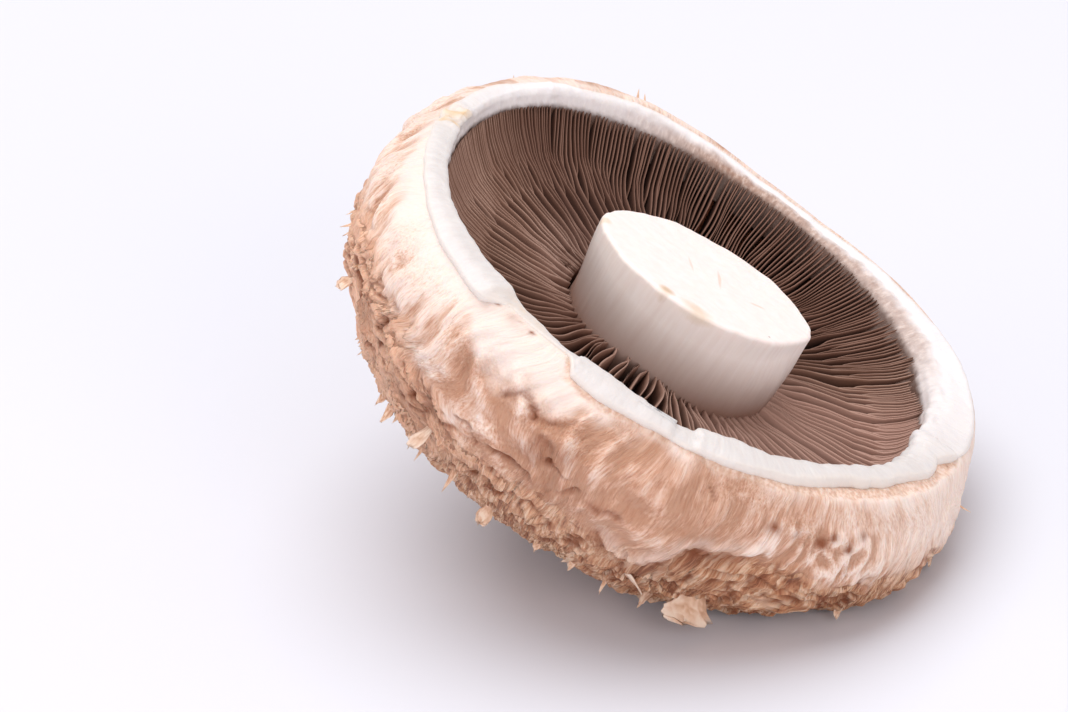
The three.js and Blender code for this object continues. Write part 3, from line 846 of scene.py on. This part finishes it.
# Four things move a point along its circle, in millimetres. Bunches about 4 mm across run along the gills and
# fade out at the wall, each gill ripples by itself, patches lean over near the stem, by more at their free
# edges than at their roots, and at the stem the inner ends are crimped together.
outward = add(ring, "VectorMath", flat, operation="NORMALIZE")
round_mean = add(ring, "VectorMath", {0: outward, "Scale": 34.0}, operation="SCALE")
outward_slow = add(ring, "Math", radius, 0.28, operation="MULTIPLY")
slow_part = add(ring, "CombineXYZ", {"Z": outward_slow})
bunch_place = add(ring, "VectorMath", round_mean, slow_part, operation="ADD")
bunch = add(ring, "TexNoise", {"Vector": bunch_place, "Scale": 0.24, "Detail": 0.6, "Roughness": 0.45})
own_phase = add(ring, "GeometryNodeInputNamedAttribute", {"Name": "own_phase"})
along_gill = add(ring, "CombineXYZ", {"X": radius, "Y": own_phase, "Z": parts.outputs["Z"]})
ripple = add(ring, "TexNoise", {"Vector": along_gill, "Scale": 0.16, "Detail": 1.0})
lean_patch = add(ring, "TexNoise", {"Vector": flat, "Scale": 0.09, "Detail": 1.0})
hand_back = add(ring, "GeometryNodeInputNamedAttribute", {"Name": "hand"})
off_wall, inward, lean_near, closing, up_edge = [
    add(ring, "MapRange", {"Value": value, "From Min": start, "From Max": full, "To Min": least},
        interpolation_type=step)
    for value, start, full, least, step in (
        (radius, 42.5, 36.0, 0.25, "SMOOTHSTEP"), (radius, 31.0, 20.0, 0.15, "LINEAR"),
        (radius, 30.0, 22.0, 0.0, "SMOOTHSTEP"), (radius, 22.2, 19.2, 0.0, "SMOOTHSTEP"),
        (parts.outputs["Z"], -15.0, -8.0, 0.0, "LINEAR"))]
shift = None
for source, factors in ((bunch, (off_wall, given.outputs["Bunching"])),
                        (ripple, (given.outputs["Ripple"], inward)),
                        (lean_patch, (given.outputs["Lean"], lean_near, up_edge)),
                        (closing, (given.outputs["Crimp"], hand_back))):
    move = source if source is closing else add(ring, "Math", source, -0.5, operation="ADD")
    for factor in factors:
        move = add(ring, "Math", move, factor, operation="MULTIPLY")
    shift = add(ring, "Math", shift, move, operation="ADD") if shift else move
shift_angle = add(ring, "Math", shift, radius, operation="DIVIDE")
turned = add(ring, "VectorRotate", {"Vector": place, "Angle": shift_angle}, rotation_type="Z_AXIS")
moved = add(ring, "GeometryNodeSetPosition", {"Geometry": real, "Position": turned})
smoothed = add(ring, "GeometryNodeSetShadeSmooth", {"Geometry": moved})
finished = add(ring, "GeometryNodeSetMaterial", {"Geometry": smoothed, "Material": given.outputs["Material"]})
add(ring, "NodeGroupOutput", {"Geometry": finished})


def grown(mesh, tree, settings, name):
    """The mesh that a Geometry Nodes tree makes from a plain one, with the modifier gone."""
    source = bpy.data.objects.new(name + "_source", mesh)
    bpy.context.scene.collection.objects.link(source)
    modifier = source.modifiers.new("grow", "NODES")
    modifier.node_group = tree
    for item in tree.interface.items_tree:
        if item.in_out == "INPUT" and item.name in settings:
            modifier[item.identifier] = settings[item.name]
    evaluated = source.evaluated_get(bpy.context.evaluated_depsgraph_get())
    made = bpy.data.meshes.new_from_object(evaluated)
    made.name = name
    bpy.data.objects.remove(source)
    return made


# Thin dull plates of pinkish brown to chocolate, paler along their free edges, and painted darker towards
# their roots as painted shade deep between the plates.
gill_tissue, tree = new_material("gill_tissue")
below = add(tree, "Attribute", attribute_name="below_edge")
spot = add(tree, "TexCoord")
mottle = add(tree, "TexNoise", {"Vector": spot.outputs["Object"], "Scale": 180.0, "Detail": 3.0})
# The free edge is pale. Below it the colour darkens over 2.5 mm as painted shade between the plates.
tint = add(tree, "MapRange", {"Value": below.outputs["Fac"], "From Min": 0.0, "From Max": 2.5})
shade = add(tree, "ValToRGB", {"Fac": tint}, stops=[(0.0, "#AC8E80"), (0.06, "#866656"), (0.25, "#644538"),
                                                    (1.0, "#3A241C")])
# Painted light: near the stem the plates are painted in lighter colours, and towards the wall, in the rim's
# shade, darker.
near_stem = add(tree, "Attribute", attribute_name="near_stem")
painted_light_near_stem = add(tree, "ValToRGB", {"Fac": tint}, stops=[(0.0, "#B89B8E"), (0.09, "#9A796B"),
                                                         (0.5, "#7C594B"), (1.0, "#50352B")])
patch = add(tree, "MapRange", {"Value": mottle, "From Min": 0.35, "From Max": 0.7, "To Max": 0.5})
# Painted light and shade: on the near side the gills are painted a pale pinkish brown, as if lit, and on the
# far side, in the shade of the rim, darker than the rest.
gill_light_attribute = add(tree, "Attribute", attribute_name="painted_gill_light")
painted_light_part = add(tree, "MapRange", {"Value": gill_light_attribute.outputs["Fac"], "From Min": 0.5, "From Max": 0.0,
                                     "To Max": 0.7})
painted_shade_part = add(tree, "MapRange", {"Value": gill_light_attribute.outputs["Fac"], "From Min": 0.5, "From Max": 1.0})
gill_colour = shade
for part, over, blend in ((near_stem.outputs["Fac"], painted_light_near_stem, "MIX"), (patch, "#74503F", "MIX"),
                          (painted_light_part, "#C29E91", "MIX"), (painted_shade_part, "#C6B5AD", "MULTIPLY")):
    gill_colour = add(tree, "Mix", {0: part, 6: gill_colour, 7: over}, data_type="RGBA", blend_type=blend)
surface = add(tree, "BsdfPrincipled", {"Base Color": gill_colour, "Roughness": 0.75})
add(tree, "OutputMaterial", {"Surface": surface})

# The three tiers: their names, where they start, their columns of faces, their turn in steps of the full
# gills, and how far their inner ends are crimped. The longest reach the stem.
TIERS = [("full", 17.4, 25, 0.0, 0.36), ("middle", 27.0, 16, 1 / 3, 0.0), ("short", 33.0, 10, 2 / 3, 0.0)]
meshes = []
for label, start, columns, phase, crimp in TIERS:
    plate = gill_plate("gill_" + label, start, columns)
    settings = {"Count": FULL_GILLS, "Phase": phase, "Bunching": 3.8, "Crimp": crimp, "Lean": 7.0,
                "Ripple": 1.0, "Material": gill_tissue}
    meshes.append(grown(plate, ring, settings, "gills_" + label))
joined = bmesh.new()
for mesh in meshes:
    joined.from_mesh(mesh)
gill_mesh = bpy.data.meshes.new("gill_plates")
joined.to_mesh(gill_mesh)
joined.free()
points = wander(np.array([v.co for v in gill_mesh.vertices]))
r, a = radius_and_angle(points)
a = np.degrees(a)
# On one side the gills rise higher where they meet the stem.
points[:, 2] += 2.9 * hump(a + 95, 34) * smooth(r, 28, 20.5) * smooth(points[:, 2], -18, -9.5)
# Where the wall is highest they stop lower down it.
points[:, 2] -= 1.2 * hump(a - 12, 38) * smooth(r, 34, 43) * smooth(points[:, 2], -9, -4)
# Painted light and shade on the gills, at a few angles: from 0, painted lit, to 1, painted in shade.
GILL_LIGHT = ([-180, -172, -160, -140, -110, -70, -50, -20, 18, 32, 44, 60, 110, 125, 150, 165, 180],
            [0.45, 0.45, 0.55, 0.8, 0.6, 0.45, 0.1, 0.0, 0.0, 0.4, 0.85, 1.0, 1.0, 1.0, 0.95, 0.6, 0.45])
store(gill_mesh, "painted_gill_light", np.interp(a, *GILL_LIGHT))
gill_mesh.vertices.foreach_set("co", to_table(points).astype(np.float32).ravel())
gills = finish_mesh("gill_plates", gill_mesh, gill_tissue)
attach(gills, "root")
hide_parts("gills")


# ---- The stem ----------------------------------------------------------------------------------------------
# A short thick stem of white flesh, solid right through. It is packed fibres that run along it, and it was
# cut straight across with a knife.
STEM_RADIUS = 18.7
CUT_Z = 2.8
CUT_ROUND = 0.7
STEM_AROUND = 360

heights = np.concatenate([[STEM_BASE_Z], np.linspace(-14, CUT_Z - CUT_ROUND, 46)])
side = [(STEM_RADIUS - 0.3 + 0.4 * smooth(h, -10, CUT_Z), h) for h in heights]
corner = [(STEM_RADIUS + 0.1 - CUT_ROUND * (1 - cos(t)), CUT_Z - CUT_ROUND + CUT_ROUND * sin(t))
          for t in np.radians([18, 36, 54, 72, 90])]
face = [(r, CUT_Z) for r in np.linspace(STEM_RADIUS - 0.9, 0.5, 28)]
stem_rows = rings(side + corner + face, STEM_AROUND)
z = stem_rows[..., 2]
r, a = radius_and_angle(stem_rows)
# The stem is a little oval, and the knife went through it at a slant.
oval = 1 + 0.9 * np.cos(2 * (a + radians(125))) / STEM_RADIUS
x, y = r * oval * np.cos(a), r * oval * np.sin(a)
at_cut = smooth(z, -10, CUT_Z - 0.8)
z = z + at_cut * (0.04 * x - 0.16 * y)
# The foot stands a little to one side and is narrower there, and the cut's low end is worn back.
low = 1 - smooth(z, -11, CUT_Z)
x = x + low * (0.5 + 1.3 * np.clip(-np.cos(a), 0, 1) * r / STEM_RADIUS)
worn = 1.3 * hump(np.degrees(a) + 22, 30) * smooth(z, -4.5, CUT_Z) * smooth(r, 6, 18)
stem_rows = np.stack([x, y, z], -1) - polar(worn, a, 0)
# The side is ribbed along its fibres, and the knife left the cut slightly uneven.
stretch = stem_rows * np.array([1, 1, 0.12])
ribs = (0.14 * grain(stretch, 2.4, 2, 7.0) + 0.4 * grain(stretch, 11, 2, 3.0)) * smooth(r, 8, 17)
stem_rows = stem_rows + polar(ribs, a, 0)
stem_rows[..., 2] += 0.16 * grain(stem_rows, 6, 3, 21.0) * at_cut
cut_share = smooth(np.arange(len(stem_rows)), len(side) - 1, len(side) + 4)[:, None] + 0 * r
tip = stem_rows[-1].mean(0)
cut_marks = np.stack([cut_share, r / STEM_RADIUS, 0 * r, 0 * r], -1)
foot = np.array([0, 0, STEM_BASE_Z])

# Moist white flesh: a soft satin sheen, light gets into it, and it is faintly streaked along its fibres.
stem_flesh, tree = new_material("stem_flesh")
spot = add(tree, "Attribute", attribute_name="own_place")
where = add(tree, "Attribute", attribute_name="cut_share")
where_parts = add(tree, "SeparateColor", {"Color": where})
fibre = drawn_out_noise(tree, spot, (1.1, 1.1, 0.09), Detail=4.0, Roughness=0.6)
side_colour = add(tree, "ValToRGB", {"Fac": fibre}, stops=[(0.3, "#EBDFDA"), (0.5, "#EFE5E0"),
                                                           (0.7, "#F3EAE6")])
cut_noise = add(tree, "TexNoise", {"Vector": spot.outputs["Vector"], "Scale": 0.6, "Detail": 5.0})
cut_colour = add(tree, "ValToRGB", {"Fac": cut_noise}, stops=[(0.3, "#F4E7E4"), (0.6, "#F6ECEA")])
height = add(tree, "SeparateXYZ", {"Vector": spot.outputs["Vector"]})
# Painted shade: the side is painted darker and browner down towards the foot, where it stands in shade among
# the gills.
painted_foot_shade = add(tree, "MapRange", {"Value": height.outputs["Z"], "From Min": 1.0, "From Max": -9.5})
side_colour_with_painted_shade = add(tree, "Mix", {0: painted_foot_shade, 6: side_colour, 7: "#8F6E61"}, data_type="RGBA")
stem_colour = add(tree, "Mix", {0: where_parts.outputs["Red"], 6: side_colour_with_painted_shade, 7: cut_colour},
                  data_type="RGBA")
# Marks on the cut: faint seams near its middle, a stain at its edge and a dark speck. For each one its
# middle, its turn in degrees, its sizes, its colour and how strong it is.
MARKS = [((1.4, 2.0, 3), 12, (0.35, 4.5, 4), "#D9B29A", 0.45),
         ((-3.6, 1.0, 3), 20, (0.3, 3.0, 4), "#DDBCA8", 0.4),
         ((8.5, 1.5, 3), -60, (0.5, 1.6, 4), "#DDB69D", 0.45),
         ((-4.6, -17.6, 4.6), 0, (1.7, 1.7, 1.9), "#C4A67C", 0.75),
         ((0.8, -17.6, 5), 0, (3.4, 2.0, 1.5), "#D2BD9C", 0.55),
         ((12.3, -9.2, 4.4), 0, (0.35, 0.5, 0.5), "#2E2018", 1),
         ((-18.2, -4.0, 2.6), 0, (1.3, 1.6, 1.6), "#E0C29E", 0.5)]
for middle, turn, sizes, tone, amount in MARKS:
    near = add(tree, "Mapping", {"Vector": spot.outputs["Vector"], "Location": middle,
                                 "Rotation": (0, 0, radians(turn)), "Scale": sizes}, vector_type="TEXTURE")
    off = add(tree, "VectorMath", near, operation="LENGTH")
    blurred = add(tree, "Math", cut_noise, -0.6, off, operation="MULTIPLY_ADD")
    part = add(tree, "MapRange", {"Value": blurred, "From Min": 0.75, "From Max": 0.2, "To Max": amount})
    stem_colour = add(tree, "Mix", {0: part, 6: stem_colour, 7: tone}, data_type="RGBA")
stem_bump = add(tree, "Bump", {"Height": fibre, "Strength": 0.18, "Distance": 0.0003})
surface = add(tree, "BsdfPrincipled", {"Base Color": stem_colour, "Roughness": 0.6, "Normal": stem_bump,
                                       "Subsurface Weight": 0.25, "Subsurface Radius": (1.0, 0.75, 0.6),
                                       "Subsurface Scale": 0.0015})
add(tree, "OutputMaterial", {"Surface": surface})

stem_mesh = ring_mesh("cut_stem", [foot, *stem_rows, tip], attributes={
    "cut_share": [cut_marks[0][0], *cut_marks, cut_marks[-1][0]], "own_place": [foot, *stem_rows, tip]})
stem = finish_mesh("cut_stem", stem_mesh, stem_flesh)
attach(stem, "root")
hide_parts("stem")


# ---- The loose scales --------------------------------------------------------------------------------------
# Small flakes of skin that have torn and lifted, with dry pointed tips. They are part of the cap's skin, so
# they are thickest where it is scaly, and a few broad tongues of skin hang from the low side.

# Dry skin torn thin: matt pale brown, with lighter dried tips.
flake_skin, tree = new_material("torn_skin_flakes")
flake = add(tree, "Attribute", attribute_name="flake_tint")
flake_parts = add(tree, "SeparateColor", {"Color": flake})
spot = add(tree, "TexCoord")
grainy = add(tree, "TexNoise", {"Vector": spot.outputs["Object"], "Scale": 1400.0, "Detail": 4.0})
tip_share = add(tree, "Math", grainy, 0.45, flake_parts.outputs["Red"], operation="MULTIPLY_ADD")
flake_brown = add(tree, "ValToRGB", {"Fac": tip_share}, stops=[(0.1, "#B98768"), (0.45, "#CC9C7D"),
                                                               (0.75, "#DDB498"), (1.0, "#E8CBB4")])
flake_cream = add(tree, "Mix", {0: flake_parts.outputs["Green"], 6: flake_brown, 7: "#EAD9C8"},
                  data_type="RGBA")
flake_bump = add(tree, "Bump", {"Height": grainy, "Strength": 0.4, "Distance": 0.0002})
surface = add(tree, "BsdfPrincipled", {"Base Color": flake_cream, "Roughness": 0.75, "Normal": flake_bump,
                                       "Subsurface Weight": 0.2, "Subsurface Radius": (1.0, 0.7, 0.5),
                                       "Subsurface Scale": 0.0008})
add(tree, "OutputMaterial", {"Surface": surface})


def turn_about(x, y, turn):
    """A point of the plane, turned about its origin."""
    return x * cos(turn) - y * sin(turn), x * sin(turn) + y * cos(turn)


def frayed_tuft(name, blades, stations, curl, thick):
    """A tuft one unit long along +X, of pointed blades side by side, each a closed diamond in section. For
    each blade its turn, its length and its shift to the side."""
    points, faces, tint = [], [], []
    for turn, length, shift in blades:
        first = len(points)
        for t in stations:
            half = 0.28 * (1 - t) ** 0.8 * (1 + 0.6 * t)
            for side, rise in ((-half, 0), (0, thick), (half, 0), (0, -thick)):
                x, y = t * length, side + shift
                points.append((*turn_about(x, y, turn), curl * t * t + rise))
        points.append((*turn_about(length, shift, turn), curl))
        tint += [max(t, 0) for t in stations for _ in range(4)] + [1.0]
        last = len(points) - 1
        faces += grid_faces(len(stations), 4, first)
        faces += [(last - 4 + k, last - 4 + (k + 1) % 4, last) for k in range(4)]
        faces.append((first + 3, first + 2, first + 1, first))
    mesh = bpy.data.meshes.new(name)
    mesh.from_pydata(points, [], faces)
    store(mesh, "tip", tint)
    return mesh


# The tree scatters tufts over the skin and turns each one's tip down the slope, towards the crown.
scatter = new_group("flake_scatter", Flake="Object", Density="Float", Seed="Int", Length="Float",
                    Width="Float", Lift="Float")
given = add(scatter, "NodeGroupInput")
share = add(scatter, "GeometryNodeInputNamedAttribute", {"Name": "flake_share"})
thickly = add(scatter, "Math", share, given.outputs["Density"], operation="MULTIPLY")
strewn = add(scatter, "GeometryNodeDistributePointsOnFaces", {"Mesh": given.outputs["Geometry"],
                                                              "Density": thickly,
                                                              "Seed": given.outputs["Seed"]})
downhill = add(scatter, "GeometryNodeInputNamedAttribute", {"Name": "fall_line"}, data_type="FLOAT_VECTOR")
facing = add(scatter, "FunctionNodeAxesToRotation", {"Primary Axis": strewn.outputs["Normal"],
                                                     "Secondary Axis": downhill}, primary_axis="Z",
             secondary_axis="X")
astray = add(scatter, "FunctionNodeRandomValue", {"Min": (-0.2, -1.0, -0.6), "Max": (0.2, -0.1, 0.6),
                                                  "Seed": 3}, data_type="FLOAT_VECTOR")
tilt = add(scatter, "VectorMath", astray, (1.0, 0.0, 1.0), operation="MULTIPLY")
raise_parts = add(scatter, "SeparateXYZ", {"Vector": astray})
raised = add(scatter, "Math", raise_parts.outputs["Y"], given.outputs["Lift"], operation="MULTIPLY")
raise_vector = add(scatter, "CombineXYZ", {"Y": raised})
turn = add(scatter, "VectorMath", tilt, raise_vector, operation="ADD")
turn_by = add(scatter, "FunctionNodeEulerToRotation", {"Euler": turn})
posed = add(scatter, "FunctionNodeRotateRotation", {"Rotation": facing, "Rotate By": turn_by},
            rotation_space="LOCAL")
size_mix = add(scatter, "FunctionNodeRandomValue", {"Min": 0.0, "Max": 1.0, "Seed": 5})
few_large = add(scatter, "Math", size_mix, 3.0, operation="POWER")
grow_by = add(scatter, "Math", few_large, 1.9, 0.65, operation="MULTIPLY_ADD")
narrow_by = add(scatter, "FunctionNodeRandomValue", {"Min": 0.4, "Max": 1.2, "Seed": 8})
long_size = add(scatter, "Math", grow_by, given.outputs["Length"], operation="MULTIPLY")
wide_base = add(scatter, "Math", grow_by, given.outputs["Width"], operation="MULTIPLY")
wide_size = add(scatter, "Math", wide_base, narrow_by, operation="MULTIPLY")
sizes = add(scatter, "CombineXYZ", {"X": long_size, "Y": wide_size, "Z": long_size})
model = add(scatter, "GeometryNodeObjectInfo", {"Object": given.outputs["Flake"]})
flakes = add(scatter, "GeometryNodeInstanceOnPoints", {"Points": strewn,
                                                       "Instance": model.outputs["Geometry"],
                                                       "Rotation": posed, "Scale": sizes})
chance = add(scatter, "FunctionNodeRandomValue", {"Min": 0.0, "Max": 1.0, "Seed": 9})
chanced = add(scatter, "GeometryNodeStoreNamedAttribute", {"Geometry": flakes, "Name": "chance",
                                                           "Value": chance}, domain="INSTANCE")
loose = add(scatter, "GeometryNodeRealizeInstances", {"Geometry": chanced})
tip = add(scatter, "GeometryNodeInputNamedAttribute", {"Name": "tip"})
luck = add(scatter, "GeometryNodeInputNamedAttribute", {"Name": "chance"})
luck_back = add(scatter, "Math", luck, 0.5, -0.25, operation="MULTIPLY_ADD")
shade_share = add(scatter, "Math", tip, luck_back, operation="ADD")
cream_few = add(scatter, "MapRange", {"Value": luck, "From Min": 0.94, "From Max": 1.0, "To Max": 0.15})
tint = add(scatter, "FunctionNodeCombineColor", {"Red": shade_share, "Green": cream_few})
tinted = add(scatter, "GeometryNodeStoreNamedAttribute", {"Geometry": loose, "Name": "flake_tint",
                                                          "Value": tint}, data_type="FLOAT_COLOR",
             domain="POINT")
coated = add(scatter, "GeometryNodeSetMaterial", {"Geometry": tinted, "Material": given.outputs["Material"]})
add(scatter, "NodeGroupOutput", {"Geometry": coated})

# The flakes grow on a copy of the skin alone, in millimetres, made from every third ring of it.
GROUND_STEP = 3
ground_rows = skin_points[::GROUND_STEP]
fall = np.gradient(ground_rows, axis=0)
fall = fall / np.linalg.norm(fall, axis=-1, keepdims=True)
torn_here = smooth(depth, belt_end + 1, belt_end + 6) * (1 - 0.85 * lying_flat)
share_here = torn_here[::GROUND_STEP] * (0.2 + 0.8 * smooth(grain(ground_rows, 6, 2, 83.0), -0.2, 0.35))
ground_mesh = bpy.data.meshes.new("flake_ground")
ground_mesh.from_pydata(ground_rows.reshape(-1, 3).tolist(), [], grid_faces(len(ground_rows), AROUND))
store(ground_mesh, "flake_share", share_here.ravel())
store(ground_mesh, "fall_line", fall.reshape(-1, 3))
if ground_mesh.polygons[0].normal.dot(Vector(normals[0, 0].tolist())) < 0:
    ground_mesh.flip_normals()

# Two blades to a tuft, the second shorter and turned aside.
TUFT = ((-0.15, 1.0, -0.05), (0.25, 0.6, 0.12))
tuft_mesh = frayed_tuft("frayed_tuft", TUFT, (-0.4, 0.05, 0.4, 0.75), 0.35, 0.05)
flake_model = bpy.data.objects.new("flake_model", tuft_mesh)
settings = {"Flake": flake_model, "Density": 0.012, "Seed": 24, "Length": 1.0, "Width": 1.5, "Lift": 0.55,
            "Material": flake_skin}
flake_mesh = grown(ground_mesh, scatter, settings, "loose_scales")
bpy.data.objects.remove(flake_model)

# Tongues and thorns of skin. For each one: the angle and depth of its root, its length and width, its turn
# from the fall line and how steeply it stands off the skin, in degrees, how far its tip curls back, and how
# pale it is.
TONGUES = [(-117, 26.5, 4.2, 2.8, 10, 74, -0.2, 0.75), (-129, 32.5, 2.1, 2.0, -8, 42, 0.2, 0.1),
           (-111, 34, 2.4, 1.5, 8, 45, 0.2, 0.1), (-101, 37, 2.2, 2.6, 0, 40, 0.3, 0.3),
           (-88, 40, 1.5, 1.8, 10, 50, 0.0, 0.1), (-141, 29, 1.8, 0.8, -20, 50, 0.3, 0.2),
           (-153, 23.5, 1.7, 4.0, 0, 50, -0.1, 0.5), (-54, 29.0, 4.2, 7.6, 0, 66, -0.05, 0.35),
           (-70, 27.6, 2.6, 1.8, 100, 30, 0.2, 0.9), (-3, 15.5, 1.8, 3.0, -5, 50, -0.1, 0.4),
           (-17, 21, 3.4, 0.8, 50, 40, 0.35, 0.1), (-27, 21.5, 1.4, 2.0, 10, 50, 0.1, 0.4),
           (-71, 35, 1.8, 1.0, 5, 50, 0.1, 0.2), (3, 7.5, 1.2, 0.7, 0, 60, 0.3, 0.1),
           (-9, 19, 1.8, 1.4, 15, 50, 0.2, 0.3), (-60, 35, 2.0, 2.0, -10, 40, 0.1, 0.3),
           (-160, 17, 1.6, 1.2, 0, 55, 0.2, 0.3),
           (118, 3.5, 1.8, 0.7, 170, 70, 0.2, 0.2), (116, 4.5, 2.2, 0.7, 150, 75, 0.2, 0.2),
           (103, 4, 1.2, 0.8, 180, 70, 0.1, 0.2), (98, 4, 1.3, 0.7, 160, 75, 0.1, 0.1),
           (91, 3.5, 1.1, 0.7, 190, 70, 0.1, 0.1), (143, 6, 1.0, 0.8, 170, 60, 0.1, 0.3),
           (-165, 21, 1.7, 0.9, 0, 50, 0.2, 0.2), (-158, 27, 1.5, 0.8, 10, 50, 0.2, 0.1),
           (-148, 31, 1.1, 1.2, 0, 48, 0.2, 0.1), (-134, 34, 1.5, 1.7, -10, 45, 0.2, 0.2),
           (-121, 37, 1.3, 1.0, 10, 45, 0.2, 0.1), (-107, 38, 1.0, 1.4, 0, 50, 0.2, 0.1),
           (-79, 37, 1.2, 1.5, -10, 50, 0.2, 0.1)]
# What is wider than a thorn is a blunt flared tongue, and the very broad one has the finest fraying.
THORN_WIDTH, VERY_BROAD = 2.5, 5
# A tongue's rows of points along it and across it.
LONG_STEPS, WIDE_STEPS = 14, 13
skin_fall = np.gradient(skin_points, axis=0)


def tongue(root_angle, root_depth, length, width, turn, stand, curl, pale, seed):
    """A closed thin tongue of skin: the points of its two sides, its faces and its tint."""
    i = np.abs(down - root_depth).argmin()
    k = np.abs(degrees[0] - root_angle).argmin()
    up = normals[i, k]
    along = skin_fall[i, k] / np.linalg.norm(skin_fall[i, k])
    across = np.cross(up, along)
    along = along * cos(radians(turn)) + across * sin(radians(turn))
    across = np.cross(up, along)
    # The root is sunk in the skin, and beyond it the tongue narrows, frays and curls.
    t = np.linspace(-0.35, 1, LONG_STEPS)[:, None]
    v = np.linspace(-1, 1, WIDE_STEPS)[None]
    free = np.clip(t, 0, 1)
    lean_up = radians(stand)
    rise = np.where(t > 0, (t * sin(lean_up) + curl * t * t) * length, t * 1.2)
    run = np.where(t > 0, t * cos(lean_up) * length, t * length)
    places = np.stack(np.broadcast_arrays(t, v, seed), -1)
    rag = grain(places, 0.4 - 0.15 * (width > VERY_BROAD), 3, seed)
    blunt, taper, flare = (6.0, 0.6, 0.25) if width > THORN_WIDTH else (1.4, 0.85, 0.0)
    narrow = np.clip(1 - free**blunt, 0, 1) ** taper * (0.85 + flare * np.sin(4.2 * t - 1.2))
    half = np.maximum(0.5 * width * narrow * (1 + 0.6 * rag * free), 0.02)
    run = run + 0.25 * length * rag * free**2 * cos(lean_up)
    rise = rise + (0.1 * width * v * v + 0.25 * length * rag * free) * free
    off_root = along * run[..., None] + across * (v * half)[..., None] + up * rise[..., None]
    middle = skin_points[i, k] + off_root
    thick = (0.05 + 0.13 * (1 - np.abs(v)) * (1 - 0.7 * free))[..., None] * up
    grids = np.stack([middle + thick, middle - thick]).reshape(2, -1, 3)
    # Two grids of faces, one over the other, and a strip round their rim.
    size = LONG_STEPS * WIDE_STEPS
    faces = []
    for quad in grid_faces(LONG_STEPS, WIDE_STEPS, closed=False):
        faces += [quad, tuple(size + n for n in reversed(quad))]
    numbers = np.arange(size).reshape(LONG_STEPS, WIDE_STEPS)
    rim = [*numbers[0], *numbers[1:, -1], *numbers[-1, -2::-1], *numbers[-2:0:-1, 0]]
    rim = [int(n) for n in rim]
    faces += [(b, a, size + a, size + b) for a, b in zip(rim, rim[1:] + rim[:1])]
    shade = 0.2 + 0.4 * free + 0.8 * rag
    cream = pale * (0.6 + 0.6 * rag)
    tint = np.stack([shade, cream, 0 * rag, 0 * rag + 1], -1).reshape(-1, 4)
    return grids.reshape(-1, 3), faces, np.tile(tint, (2, 1))


parts = [tongue(*row, 3.7 * n) for n, row in enumerate(TONGUES)]
count = len(flake_mesh.vertices)
points = np.concatenate([np.array([v.co for v in flake_mesh.vertices])] + [part[0] for part in parts])
faces = [tuple(p.vertices) for p in flake_mesh.polygons]
tint = np.zeros(count * 4, np.float32)
flake_mesh.attributes["flake_tint"].data.foreach_get("color", tint)
tints = np.concatenate([tint.reshape(-1, 4)] + [part[2] for part in parts])
for corners, part_faces, _ in parts:
    faces += [tuple(count + n for n in face) for face in part_faces]
    count += len(corners)
points = to_table(points)
z = points[:, 2]
points[:, 2] = (z + np.sqrt(z * z + PRESS_EDGE**2)) / 2
scale_mesh = bpy.data.meshes.new("loose_scales")
scale_mesh.from_pydata(points.tolist(), [], faces)
store(scale_mesh, "flake_tint", tints)
flakes = finish_mesh("loose_scales", scale_mesh, flake_skin)
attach(flakes, "root")
